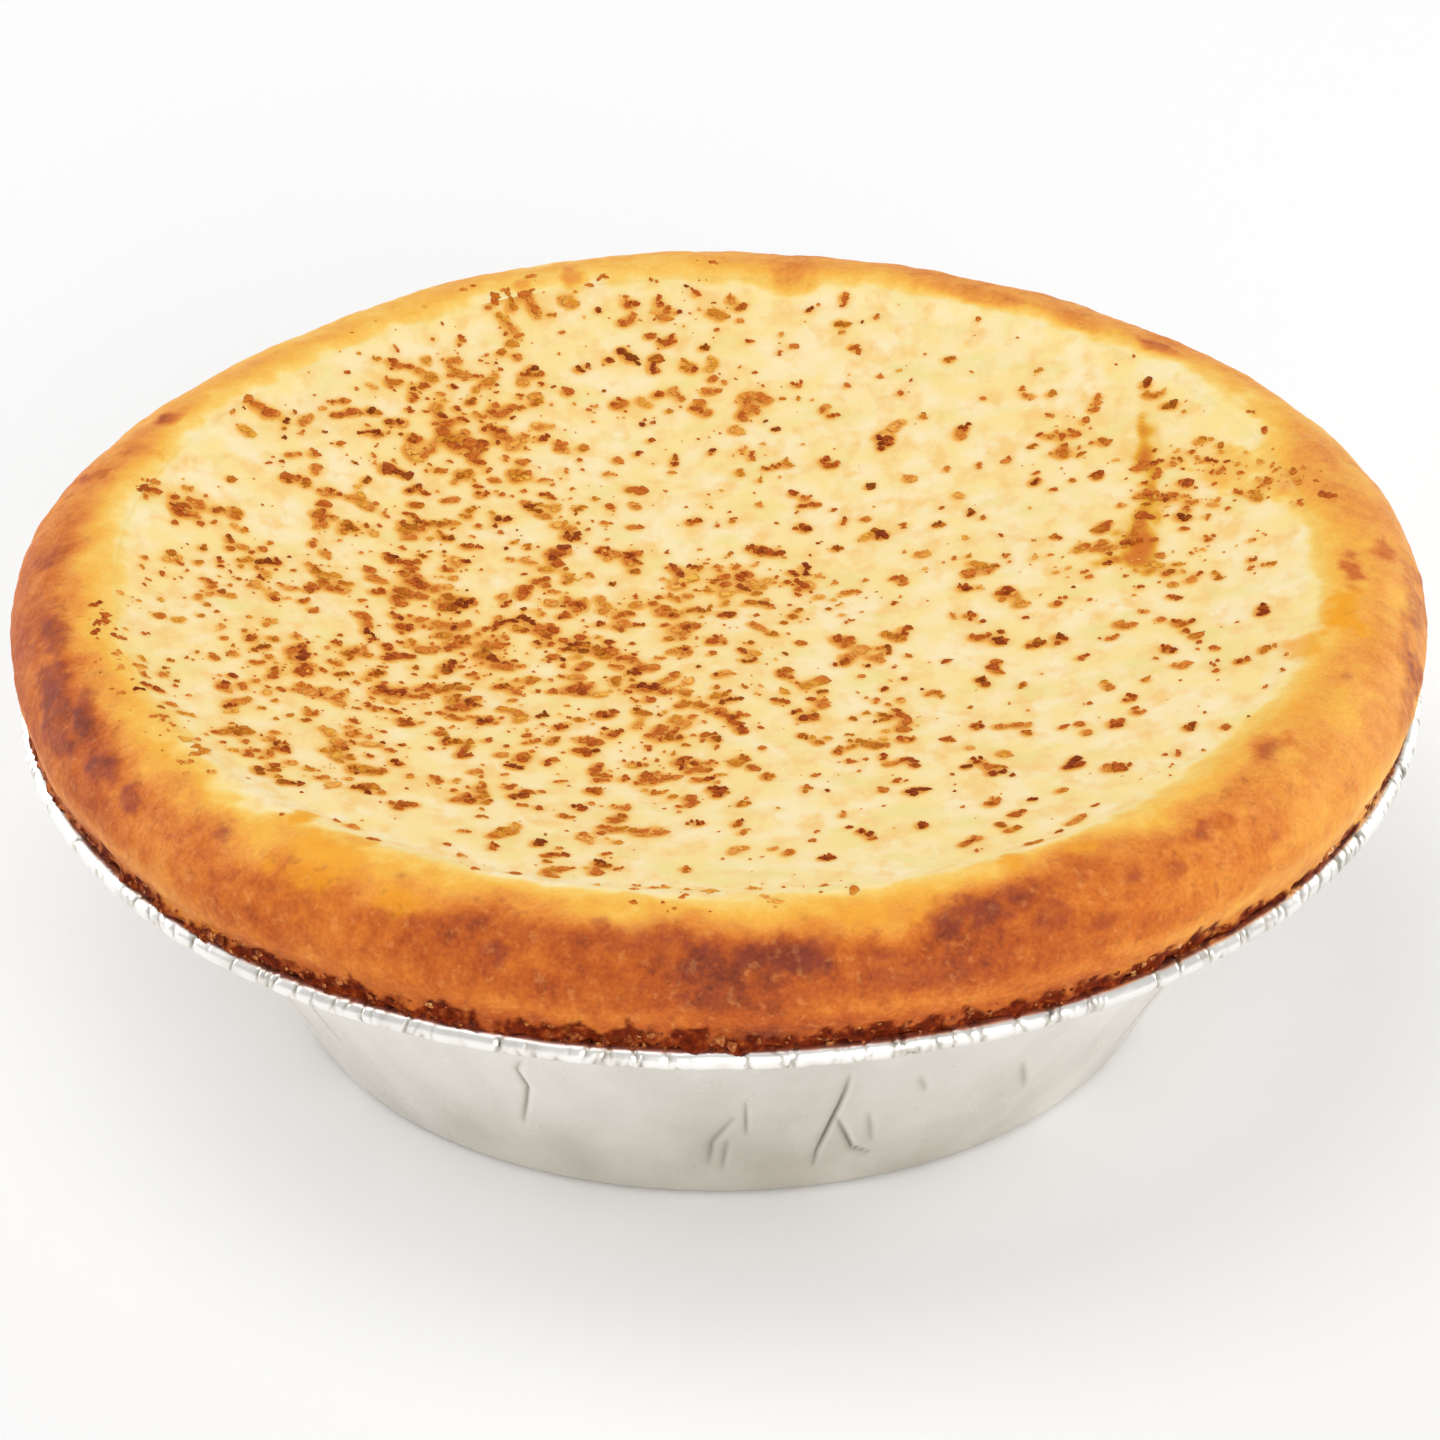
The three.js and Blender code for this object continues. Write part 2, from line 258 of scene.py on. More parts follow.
def dish_profile():
    """The dish's section: under the base, up the wall, over the bend, and down its inner face."""
    round_centre = (BASE_RADIUS - BASE_ROUND, BASE_ROUND)
    inner_round = BASE_ROUND - FOIL_THICKNESS
    outer_foot = arc(round_centre, BASE_ROUND, BASE_ROUND, -90, -15, 8)
    inner_foot = arc(round_centre, inner_round, inner_round, -15, -90, 4)
    wall_top = (WALL_TOP_RADIUS, WALL_TOP_HEIGHT)
    bend_end = (WALL_TOP_RADIUS + WALL_BEND, FLANGE_HEIGHT - FOIL_THICKNESS)
    return np.concatenate(
        [
            line((6, 0), outer_foot[0], 3),
            outer_foot[:-1],
            line(outer_foot[-1], wall_top, 54),
            line(wall_top, bend_end, 4),
            [bend_end, (bend_end[0] - FOIL_SEAM_OUT, FLANGE_HEIGHT)],
            line((WALL_TOP_RADIUS - FOIL_THICKNESS, WALL_TOP_HEIGHT), inner_foot[0], 3),
            inner_foot,
            line((30, FOIL_THICKNESS), (4, FOIL_THICKNESS), 2),
        ]
    )


def dish_bearings():
    """Bearings all round the wall, closer together at the creases."""
    parts = [np.linspace(-180, 180, WALL_STEPS, endpoint=False)]
    for path, _, _ in CREASES:
        bearings = [bearing for bearing, _ in path]
        parts.append(np.arange(min(bearings) - CREASE_REACH, max(bearings) + CREASE_REACH, CREASE_STEP))
    return np.radians(np.unique(np.round((np.concatenate(parts) + 180) % 360 - 180, 2)))


def foil_dish():
    angles = dish_bearings()
    r, z = spun(dish_profile(), len(angles))
    wall = smooth_step(z, *DENTED_FROM) * (1 - smooth_step(z, *DENTED_TO))
    places = ring_points(angles, r, z)
    stretched = places * np.array([1, 1, 0.55])
    dents = layered_noise(stretched, [(DENT_DEPTH, DENT_SIZE, 1), (0.5 * DENT_DEPTH, DENT_SIZE / 3, 2)])
    flutes = FLUTE_DEPTH * soft_noise(places * np.array([1, 1, 0.12]), 1.7, 3)
    push = (dents + flutes) * wall
    folded = np.zeros_like(push)
    for path, half_width, depth in CREASES:
        middle = path[len(path) // 2][0]
        turn = turn_from(angles, math.radians(middle))
        close = np.abs(turn) < CREASE_ZONE
        across = turn[close] * WALL_MIDDLE_RADIUS + 0 * r[:, close]
        local = [(math.radians(bearing - middle) * WALL_MIDDLE_RADIUS, height) for bearing, height in path]
        crease = fold(local, half_width, depth, across, z[:, close]) * wall[:, close]
        push[:, close] += crease
        folded[:, close] += crease
    lift = np.clip(z - WALL_TOP_HEIGHT / 2, 0, None) / FLANGE_HEIGHT * RIM_WAVE * rim_wave(angles)
    piece = turned_piece("foil_dish_wall", ring_points(angles, r + push, z + lift), poles=(0, FOIL_THICKNESS))
    # Painted light and shade: creases and dents darker or lighter with their depth, the wall brighter towards
    # its top than at its base, and a painted darker reflection round one bearing.
    dark_reflection = PAINTED_DARK_REFLECTION * np.exp(-((turn_from(angles, DARK_REFLECTION_BEARING) / DARK_REFLECTION_HALF_WIDTH) ** 2))
    tone = WALL_TONE + folded * CREASE_PAINTED_SHADE + dents * DENT_PAINTED_SHADE + PAINTED_LIGHT_TO_RIM * smooth_step(z, 2, 24) - dark_reflection
    paint(piece, "fold", np.clip(tone, 0, 1))
    return piece


def display(red, green, blue):
    """A colour as a screen shows it, 0 to 255 a channel, as the shader's linear red, green, blue, alpha."""
    shares = [channel / 255 for channel in (red, green, blue)]
    return [share / 12.92 if share <= 0.04045 else ((share + 0.055) / 1.055) ** 2.4 for share in shares] + [1]


def set_inputs(tree, node, inputs):
    """Sets inputs of a node. Each is a value, or the output of another node, which is then linked to it."""
    for name, value in inputs.items():
        if isinstance(value, bpy.types.NodeSocket):
            tree.links.new(value, node.inputs[name])
        else:
            node.inputs[name].default_value = value


def add_node(tree, kind, inputs, **settings):
    """Adds a node with these inputs and settings."""
    made = tree.nodes.new(kind)
    for name, value in settings.items():
        setattr(made, name, value)
    set_inputs(tree, made, inputs)
    return made


def noise_node(tree, size, detail=2.0, stretch=None):
    """Noise that changes over about size mm, from 0 to 1."""
    place = add_node(tree, "ShaderNodeTexCoord", {}).outputs["Object"]
    if stretch is not None:
        place = add_node(tree, "ShaderNodeMapping", {"Vector": place, "Scale": stretch}).outputs["Vector"]
    settings = {"Vector": place, "Scale": 1 / (size * MM), "Detail": detail, "Roughness": 0.55}
    return add_node(tree, "ShaderNodeTexNoise", settings).outputs["Fac"]


def painted(tree, name):
    """The value that paint() gave to each point."""
    return add_node(tree, "ShaderNodeAttribute", {}, attribute_name=name).outputs["Fac"]


def sum_node(tree, first, second):
    """One value plus another."""
    return add_node(tree, "ShaderNodeMath", {0: first, 1: second}, operation="ADD").outputs[0]


def product_node(tree, first, second):
    """One value times another."""
    return add_node(tree, "ShaderNodeMath", {0: first, 1: second}, operation="MULTIPLY").outputs[0]


def spread(tree, value, low, high, to_low=0.0, to_high=1.0):
    """A value from low to high, spread to other limits and clamped."""
    inputs = {"Value": value, "From Min": low, "From Max": high, "To Min": to_low, "To Max": to_high}
    return add_node(tree, "ShaderNodeMapRange", inputs).outputs["Result"]


def colour_steps(tree, value, steps):
    """A colour that follows a value through steps of (value, colour)."""
    ramp = add_node(tree, "ShaderNodeValToRGB", {"Fac": value})
    stops = ramp.color_ramp.elements
    while len(stops) < len(steps):
        stops.new(0.5)
    for stop, (place, _) in zip(stops, steps):
        stop.position = place
    for stop, (_, colour) in zip(stops, steps):
        stop.color = display(*colour)
    return ramp.outputs["Color"]


def blend_colours(tree, share, first, second):
    """A mix of two colours."""
    return add_node(tree, "ShaderNodeMix", {0: share, 6: first, 7: second}, data_type="RGBA").outputs[2]


def fine_relief(tree, height, depth, strength):
    """The normal of a relief that is depth mm deep, too fine for the mesh."""
    inputs = {"Height": height, "Distance": depth * MM, "Strength": strength}
    return add_node(tree, "ShaderNodeBump", inputs).outputs["Normal"]


def new_finish(name):
    """A new material: its node tree and its shader."""
    finish = bpy.data.materials.new(name)
    finish.use_nodes = True
    return finish, finish.node_tree, finish.node_tree.nodes["Principled BSDF"]


def satin_foil():
    finish, tree, shader = new_finish("satin_foil")
    cloud = spread(tree, noise_node(tree, 8, 4, stretch=(1, 1, 0.5)), 0.3, 0.7, -0.04, 0.04)
    brushed = noise_node(tree, 0.5, 3, stretch=(1, 1, 0.15))
    look = {
        # The painted "fold" tone holds painted shade and painted highlights of creases, dents, wrinkles, the
        # wall's top and base, and the rim's bead.
        "Base Color": colour_steps(tree, sum_node(tree, painted(tree, "fold"), cloud), FOIL_TONES),
        "Metallic": 1.0,
        "Roughness": spread(tree, noise_node(tree, 3, 4), 0.3, 0.7, 0.26, 0.38),
        "Normal": fine_relief(tree, brushed, 0.02, 0.5),
    }
    set_inputs(tree, shader, look)
    return finish


rim_wave = wave_round(41, 2, 5)
foil = satin_foil()
dish = foil_dish()
dish.data.materials.append(foil)
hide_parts("foil_dish")
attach(dish, "root")

# Rim of the dish
# The same foil runs out in a level flange, and its edge is rolled under into a thin bead.
# Rolling a round edge has left small wrinkles all round the bead.

RIM_STEPS = 2400
RIM_RADIUS = 64.3
ROLL_RADIUS = 1.0
FLANGE_THICKNESS = 0.2
RIM_RELIEF = 0.07
# The bead's tone is painted brighter than the wall's, a painted highlight, and each mm that a wrinkle or dent
# pushes in is painted darker, a painted shade in its hollow.
RIM_PAINTED_HIGHLIGHT = 0.6
WRINKLE_PAINTED_SHADE = 2.0

# The wrinkles begin this far in from the edge and come up over this width. Then come their number, and the
# least and most of their depth and half width in mm and of their slant, middle and length in radians.
WRINKLED_FROM = 2.6
WRINKLED_RISE = 1.0
RIM_SEED = 19
WRINKLES = 620
WRINKLE_DEPTH = (0.03, 0.17)
WRINKLE_HALF_WIDTH = (0.1, 0.28)
WRINKLE_SLANT = (-0.006, 0.006)
WRINKLE_MIDDLE = (-1.9, 1.2)
WRINKLE_LENGTH = (0.6, 1.6)


def rim_profile():
    """The rim's section: the flange from below, the roll, and the flange's top face."""
    inner = WALL_TOP_RADIUS + WALL_BEND - FOIL_THICKNESS
    roll = arc((RIM_RADIUS - ROLL_RADIUS, FLANGE_HEIGHT), ROLL_RADIUS, ROLL_RADIUS, -150, 180, 25)
    below = line((inner, FLANGE_HEIGHT - FLANGE_THICKNESS), roll[0], 4)
    above = line((roll[-1][0] - 0.5, FLANGE_HEIGHT), (inner, FLANGE_HEIGHT), 5)
    return np.concatenate([below, roll, above])


def foil_rim():
    angles = np.linspace(0, FULL_TURN, RIM_STEPS, endpoint=False)
    profile = rim_profile()
    from_middle = profile - np.array([RIM_RADIUS - ROLL_RADIUS, FLANGE_HEIGHT])
    outwards = from_middle / np.linalg.norm(from_middle, axis=1, keepdims=True)
    start = RIM_RADIUS - WRINKLED_FROM
    on_roll = smooth_step(profile[:, 0], start, start + WRINKLED_RISE)
    turn = np.arctan2(outwards[:, 1], outwards[:, 0])
    push = np.zeros((len(profile), RIM_STEPS))
    random = np.random.default_rng(RIM_SEED)
    for _ in range(WRINKLES):
        bearing = random.uniform(0, FULL_TURN)
        ranges = (WRINKLE_DEPTH, WRINKLE_HALF_WIDTH, WRINKLE_SLANT, WRINKLE_MIDDLE, WRINKLE_LENGTH)
        depth, half_width, slant, middle, length = (random.uniform(*limits) for limits in ranges)
        away = turn_from(angles, bearing) + slant * turn[:, None]
        across = np.exp(-((away * RIM_RADIUS / half_width) ** 2))
        along = np.exp(-(((turn - middle) / length) ** 2))[:, None]
        push -= depth * across * along
    places = ring_points(angles, *spun(profile, RIM_STEPS))
    push = (push + RIM_RELIEF * soft_noise(places, 2.2, 4)) * on_roll[:, None]
    lift = profile[:, 1:] / FLANGE_HEIGHT / 2 * RIM_WAVE * rim_wave(angles) + 0.05 * soft_noise(places, 4, 5)
    r = profile[:, :1] + push * outwards[:, :1]
    z = profile[:, 1:] + push * outwards[:, 1:] + lift
    piece = turned_piece("foil_dish_rim", ring_points(angles, r, z))
    # Painted highlight on the bead, with painted shade in the wrinkles and dents.
    paint(piece, "fold", np.clip(RIM_PAINTED_HIGHLIGHT + WRINKLE_PAINTED_SHADE * push, 0, 1))
    return piece


rim = foil_rim()
rim.data.materials.append(foil)
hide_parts("foil_dish")
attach(rim, "root")

# Pastry shell
# Rich short pastry: it lines the dish, lies on the flange and swells over it in a fat round lip.
# Baking browned it unevenly, blistered it in places and scorched the thin edge where it touches the foil.

GAP = 0.3
CRUST_STEPS = 1060
FOOT_RADIUS = 61.4
LIP_RADIUS = 64.5
LIP_HEIGHT = 35.9
CROWN_RADIUS = 56.8
CROWN_HEIGHT = 42.2
FLANGE_FACE = FLANGE_HEIGHT + GAP + RIM_WAVE
SHELL_BASE_THICKNESS = 4
SHELL_INNER_BASE_RADIUS = 36
INNER_WALL_MIDDLE = (45.15, 22.3)
FLOOR_RING_RADIUS = 18
LIP_WANDER = 1.26
CROWN_WANDER = 0.55
FOOT_WANDER = 0.5
LIP_RINGS = 68

# The custard's border with the pastry: from the bed that the custard lies in, a soft rise leads to the crown.
# Custard and pastry follow the same rise up to their seam, and beyond it each dips under the other.
BORDER_RADIUS = 54.3
BORDER_HEIGHT = 41.1
BORDER_EDGE = 1.2
BORDER_WANDER = 0.75
DISH_DEPTH = 5.2
DISH_POWER = 2.3
RISE_START = 51.8
RISE_FOOT = BORDER_RADIUS - 1.2
RISE_RINGS = 12
SEAM_RADIUS = 54.95
TUCK_SLOPE = 0.03
TUCK_CURVE = 0.16

# Relief of skin and pastry in mm, and the ragged edges of patches and baked zones, in layers of soft noise:
# strength, the size in mm that it changes over, and a seed. LEVEL flattens places, so that custard and pastry
# get the same noise where they meet.
LEVEL = np.array([1, 1, 0])
SKIN_RELIEF = [(0.09, 11, 31), (0.035, 3.1, 32), (0.012, 1.1, 33)]
PASTRY_LUMPS = [(0.3, 14, 11), (0.15, 4.6, 12), (0.11, 2.1, 13), (0.07, 0.95, 14)]
RAGGED_PATCHES = [(0.75, 2.6, 15), (0.6, 1.0, 16)]
RAGGED_YELLOW = [(0.9, 5, 34), (0.8, 2.0, 35), (0.4, 0.9, 38)]
RAGGED_SCORCH = [(1.7, 2.6, 22), (1.3, 1.1, 23)]
PATCH_FADE = (0.3, 1.45)

# How the skin is baked, bearing by bearing in degrees: where pale turns yellow and where yellow turns brown,
# both in mm outwards from the seam of custard and pastry, and how far it is baked beyond that, from 0 to 1.
BAKING_ROUND = [
    (-180, -0.6, 3.2, 0.74), (-170, -0.3, 4.0, 0.78), (-160, -0.7, 4.1, 0.8), (-150, -1.0, 5.1, 0.78),
    (-144, 0.5, 5.6, 0.71), (-139, 2.0, 5.2, 0.68), (-134, 2.8, 5.3, 0.69), (-131, 0.7, 6.3, 0.74),
    (-120, 0.3, 5.9, 0.78), (-110, 1.4, 4.3, 0.8), (-100, 1.3, 4.9, 0.8), (-95, 1.4, 4.0, 0.83),
    (-90, 1.4, 5.1, 0.84), (-80, 1.6, 6.8, 0.86), (-74, 1.2, 6.0, 0.83), (-70, 0.9, 3.8, 0.8),
    (-60, 0.2, 2.9, 0.73), (-52, 0.0, 3.4, 0.65), (-45, -0.8, 3.6, 0.56), (-38, -2.0, 2.4, 0.49),
    (-30, -1.8, 1.9, 0.46), (-20, -1.0, 2.4, 0.43), (-10, -0.4, 2.4, 0.44), (0, -1.2, 2.4, 0.46),
    (8, -0.7, 1.6, 0.46), (18, -2.0, 1.1, 0.4), (26, 1.2, 3.4, 0.39), (35, 1.8, 4.4, 0.42),
    (45, 0.4, 2.3, 0.5), (60, -0.2, 1.9, 0.49), (75, -0.4, 2.1, 0.47), (84, -1.2, 1.1, 0.5),
    (92, -0.2, 3.3, 0.36), (110, 0.4, 4.6, 0.3), (130, -0.4, 5.0, 0.3), (145, 0.8, 4.0, 0.38),
    (155, 0.2, 2.6, 0.53), (165, 0.4, 2.7, 0.62),
]

# It yellows in three steps: how far each one bakes it, and where it starts and ends in mm past the first
# place. Then it browns. Above the scorched foot a band stays paler. Blisters stand up and are baked further.
YELLOWING = [(0.04, -6, -1.0), (0.2, -1.1, 1.3), (0.1, 0.6, 4.0)]
BROWNING = (-2.0, 3.0)
PALE_BAND_PLACE = 13.9
PALE_BAND_HALF_WIDTH = 1.2
PALE_BAND_STRENGTH = 0.13
MOST_BAKED = 0.98
BLISTER_RISE = 0.16
BLISTER_BAKE = 0.14
BLISTER_TINT = 0.75

# Patches of skin that are baked further: bearing in degrees, distance outwards from the seam,
# half length round the tart and half width across it in mm, and how much further they are baked.
TANNED_PATCHES = [
    (-11, 2.4, 2.8, 1.4, 0.1), (-1.5, 2.9, 3.0, 1.0, 0.4), (3, 6.3, 1.8, 1.2, 0.28),
    (14, 1.8, 7.0, 2.0, 0.1), (16, -1.0, 2.2, 1.8, 0.24), (21, -4.0, 5.0, 2.2, 0.26),
    (26, -6.5, 2.2, 1.6, 0.24), (-34, 2.3, 2.6, 1.3, 0.26), (-47, 6.2, 3.2, 1.0, 0.2),
    (-57, 1.6, 1.6, 1.2, 0.14), (18, 4.6, 5.0, 1.2, 0.1), (30, 1.2, 3.4, 1.0, 0.1),
    (-64, 1.0, 1.2, 1.8, 0.16), (-124, 0.6, 1.6, 1.4, 0.14), (-131, -0.4, 1.2, 1.6, 0.18),
    (44, 2.9, 2.2, 1.1, 0.28), (53, 2.0, 3.0, 1.0, 0.16), (64, 1.7, 5.0, 1.2, 0.18),
    (82, 1.5, 2.6, 2.6, 0.2), (104, 1.7, 1.0, 2.4, 0.24), (109.5, 1.0, 0.9, 2.0, 0.24),
    (151.5, 3.7, 1.3, 1.1, 0.3), (158, 2.9, 1.7, 2.2, 0.18), (162, 5.5, 1.4, 1.4, 0.2),
]

# Bright orange-yellow drops and dark blisters, given in the same way.
SYRUP_DROPS = [
    (-10.5, 2.3, 3.6, 2.1, 1.0), (-15.5, -0.8, 2.2, 1.6, 0.75), (-27, 2.0, 1.2, 1.2, 0.5),
    (-64.5, 1.6, 0.9, 2.0, 0.8), (-58, 3.0, 2.0, 0.9, 0.5), (-125, 5.5, 5.0, 2.4, 0.6),
    (-117, 6.6, 3.0, 1.4, 0.6), (-131, 0.4, 0.9, 2.2, 0.9), (-128, 2.2, 1.2, 0.8, 0.6),
    (-148, 2.6, 1.6, 1.0, 0.5), (-77, 5.0, 5.0, 1.6, 0.35), (22, -5.6, 2.0, 1.2, 0.5),
    (27, -7.2, 1.6, 1.0, 0.5),
]
BLISTERS = [
    (176.8, 5.6, 1.8, 1.3, 0.8), (190, 6.0, 3.8, 1.3, 0.9), (196, 7.3, 3.4, 1.6, 1.0),
    (199.5, 5.3, 1.5, 1.0, 0.8), (203, 6.6, 2.3, 1.3, 0.9), (201.5, 9.8, 2.8, 1.3, 0.8),
    (188, 9.6, 3.6, 1.4, 0.4), (209.5, 7.8, 2.1, 1.3, 0.85), (214.2, 8.3, 1.3, 1.1, 0.9),
    (225.4, 6.3, 1.0, 0.8, 0.8), (-107.9, 9.6, 1.1, 1.0, 0.75), (-96.5, 6.5, 3.6, 1.6, 0.42),
    (-88, 8.2, 6.0, 2.0, 0.7), (-118, 4.2, 0.7, 0.6, 0.5), (-109, 4.3, 0.6, 0.6, 0.5),
    (-100, 5.6, 1.0, 0.8, 0.6), (-77.5, 9.0, 0.9, 0.6, 0.7), (-83.8, 8.4, 2.6, 1.6, 0.9),
    (-92, 11.0, 5.0, 1.6, 0.35), (-75, 11.2, 5.0, 1.6, 0.3), (-70, 6.5, 3.8, 1.7, 1.0),
    (-66.5, 5.8, 2.4, 1.3, 0.7), (-63.7, 8.7, 1.5, 1.2, 0.65), (-59.5, 10.2, 1.2, 0.7, 0.5),
    (-55.6, 7.2, 1.1, 0.8, 0.6), (-51.8, 8.3, 0.9, 0.7, 0.5), (-48.6, 6.0, 1.9, 1.2, 0.6),
    (-41.7, 9.8, 0.8, 0.6, 0.45), (-34.6, 3.0, 1.6, 0.9, 0.5), (-19.7, 4.3, 1.0, 0.7, 0.45),
    (-10.4, 8.6, 1.0, 0.7, 0.5), (-12.1, 11.4, 2.2, 2.4, 1.0), (-3, 9.6, 6.0, 1.6, 0.75),
    (1, 11.8, 4.5, 1.5, 0.8), (-17, 11.0, 3.0, 2.2, 0.5), (44.6, 3.2, 1.4, 0.8, 0.5),
    (56, 8.0, 7.0, 1.6, 0.4), (81, 6.4, 4.0, 1.4, 0.4), (128, 9.0, 5.0, 1.6, 0.35),
    (151.5, 4.0, 1.0, 0.8, 0.5),
]

# How far the scorched skirt of thin pastry reaches out over the flange, and how high it is scorched, in mm.
SKIRT_ROUND = [
    (-180, 1.2), (-150, 1.5), (-110, 1.4), (-80, 1.3), (-55, 1.1), (-30, 0.9),
    (10, 0.8), (60, 0.9), (120, 1.0),
]
SCORCH_ROUND = [
    (-180, 1.0), (-150, 1.6), (-115, 2.2), (-90, 2.3), (-60, 2.1), (-30, 1.5),
    (20, 1.1), (90, 1.3),
]
SCORCH_EDGE = (-0.3, 0.35)
SCORCHED_RINGS = 30

# Colours, from unbaked to burnt, and the size in mm and detail of the grain in them. A mottle is the size,
# detail and stretch of its noise, the limits where it starts and is full, its strength and its colour.
BAKED_GRAIN = [(1.7, 5), (0.45, 3)]
BAKING_COLOURS = [
    (0.0, (248, 221, 148)), (0.1, (249, 222, 144)), (0.2, (247, 204, 104)), (0.32, (243, 180, 66)),
    (0.45, (237, 158, 60)), (0.58, (226, 137, 46)), (0.7, (210, 112, 30)), (0.85, (182, 82, 18)),
    (1.0, (120, 46, 14)),
]
PALE_MOTTLES = [
    (4.2, 4, None, (0.4, 0.64), 1, (250, 230, 184)),
    (3.1, 5, (1.2, 0.9, 1), (0.48, 0.66), 1, (245, 204, 128)),
    (5.3, 3, (0.8, 1.3, 1), (0.54, 0.7), 0.7, (236, 220, 140)),
]
CRUMB_MOTTLES = [
    (1.3, 4, None, (0.56, 0.7), 0.4, (150, 64, 22)),
    (1.0, 4, None, (0.58, 0.68), 0.26, (236, 164, 92)),
]
SCORCH_COLOURS = [(0.35, (84, 22, 4)), (0.55, (124, 42, 10)), (0.7, (172, 84, 34))]
BLISTER_COLOUR = (142, 58, 40)
SYRUP_COLOUR = (242, 162, 6)

# Waves round the tart: a seed, and the fewest and the most waves.
foot_wave = wave_round(5, 4, 22)
lip_wave = wave_round(5235, 2, 7)
crown_wave = wave_round(23, 2, 8)
border_wave = wave_round(37, 3, 16)


def round_the_tart(angles, table):
    """A value that changes smoothly from bearing to bearing through a table."""
    bearings, values = zip(*table)
    return np.interp(np.degrees(angles), bearings, values, period=360)


def border_rise(r):
    """Height of the soft rise that joins the custard's skin to the crown of the lip."""
    share = np.clip((r - RISE_START) / (CROWN_RADIUS - RISE_START), 0, 1)
    low = BORDER_HEIGHT - DISH_DEPTH * (1 - (RISE_START / BORDER_RADIUS) ** DISH_POWER)
    slope = DISH_DEPTH * DISH_POWER / BORDER_RADIUS * (RISE_START / BORDER_RADIUS) ** (DISH_POWER - 1)
    run = slope * (CROWN_RADIUS - RISE_START)
    return low + run * share * (1 - share) ** 2 + (CROWN_HEIGHT - low) * share * share * (3 - 2 * share)


def rise_share(r):
    """0 where the rise leaves the custard's bed, 1 at the crown."""
    return np.clip((r - RISE_FOOT) / (CROWN_RADIUS - RISE_FOOT), 0, 1)


def tuck_depth(beyond):
    """How far one surface dips under the other beyond their seam: gently, so that the seam doesn't show."""
    beyond = np.clip(beyond, 0, None)
    return TUCK_SLOPE * beyond + TUCK_CURVE * beyond**2


def rise_at(angles, r):
    """Height of the rise where the lip has swollen in or out: one surface for custard and pastry."""
    pull = LIP_WANDER * lip_wave(angles) / (CROWN_RADIUS - RISE_FOOT)
    unswollen = np.where(r > RISE_FOOT, (r + pull * RISE_FOOT) / (1 + pull), r)
    lift = smooth_step(rise_share(unswollen), 0, 1) * CROWN_WANDER * crown_wave(angles)
    return border_rise(unswollen) + lift - tuck_depth(unswollen - SEAM_RADIUS)


def skin_relief(places):
    """Soft unevenness of the baked skin, the same on custard and pastry where they meet, in mm."""
    return layered_noise(places * LEVEL, SKIN_RELIEF)


def crust_profile():
    """The shell's section, the place of the lip's first point in it, and the heights of its two floors."""
    half_width = LIP_RADIUS - CROWN_RADIUS
    foot_turn = math.degrees(math.acos((FOOT_RADIUS - CROWN_RADIUS) / half_width))
    turns = np.linspace(-foot_turn, 90, LIP_RINGS)
    lower = (LIP_HEIGHT - FLANGE_FACE) / math.sin(math.radians(foot_turn))
    half_height = np.where(turns < 0, lower, CROWN_HEIGHT - LIP_HEIGHT)
    lip_r = CROWN_RADIUS + half_width * np.cos(np.radians(turns))
    lip_z = LIP_HEIGHT + half_height * np.sin(np.radians(turns))
    lip = np.stack([lip_r, lip_z], axis=1)
    floor = FOIL_THICKNESS + GAP
    inner_floor = floor + SHELL_BASE_THICKNESS
    lining = [
        (20, floor),
        (BASE_RADIUS - BASE_ROUND - GAP, floor),
        (BASE_RADIUS - FOIL_THICKNESS - GAP, BASE_ROUND + GAP),
        (48.3, 15.4),
        (WALL_TOP_RADIUS - FOIL_THICKNESS - GAP, WALL_TOP_HEIGHT),
        (WALL_TOP_RADIUS + WALL_BEND - 2 * GAP, FLANGE_FACE),
        (59.6, FLANGE_FACE),
    ]
    rise = [(r, border_rise(r)) for r in np.linspace(CROWN_RADIUS, RISE_FOOT, RISE_RINGS + 1)[1:]]
    inside = [
        (BORDER_RADIUS + GAP / 2, BORDER_HEIGHT - BORDER_EDGE),
        (INNER_WALL_MIDDLE[0] + GAP / 2, INNER_WALL_MIDDLE[1]),
        (SHELL_INNER_BASE_RADIUS + GAP / 2, inner_floor),
        (FLOOR_RING_RADIUS, inner_floor),
    ]
    return np.concatenate([lining, lip, rise, inside]), len(lining), floor, inner_floor


def rim_places(angles, across, stretch):
    """Places for noise that is stretched along the rim, without a break anywhere round the tart."""
    reach = CROWN_RADIUS / stretch
    level = 0 * across
    return np.stack([reach * np.cos(angles) + level, reach * np.sin(angles) + level, across], axis=-1)


def patches_at(angles, beyond, places, patches):
    """How strong a patch is here, from 0 to its full strength, with ragged edges."""
    ragged = layered_noise(places, RAGGED_PATCHES)
    strongest = np.zeros(beyond.shape)
    for bearing, middle, half_length, half_width, strength in patches:
        along = turn_from(angles, math.radians(bearing)) * CROWN_RADIUS
        away = np.hypot(along / half_length, (beyond - middle) / half_width)
        strongest = np.maximum(strongest, strength * (1 - smooth_step(away + ragged, *PATCH_FADE)))
    return strongest


def syrup_at(places, angles, beyond):
    """Where egg and sugar have run together into bright orange-yellow drops."""
    return patches_at(angles, beyond, places * LEVEL, SYRUP_DROPS)


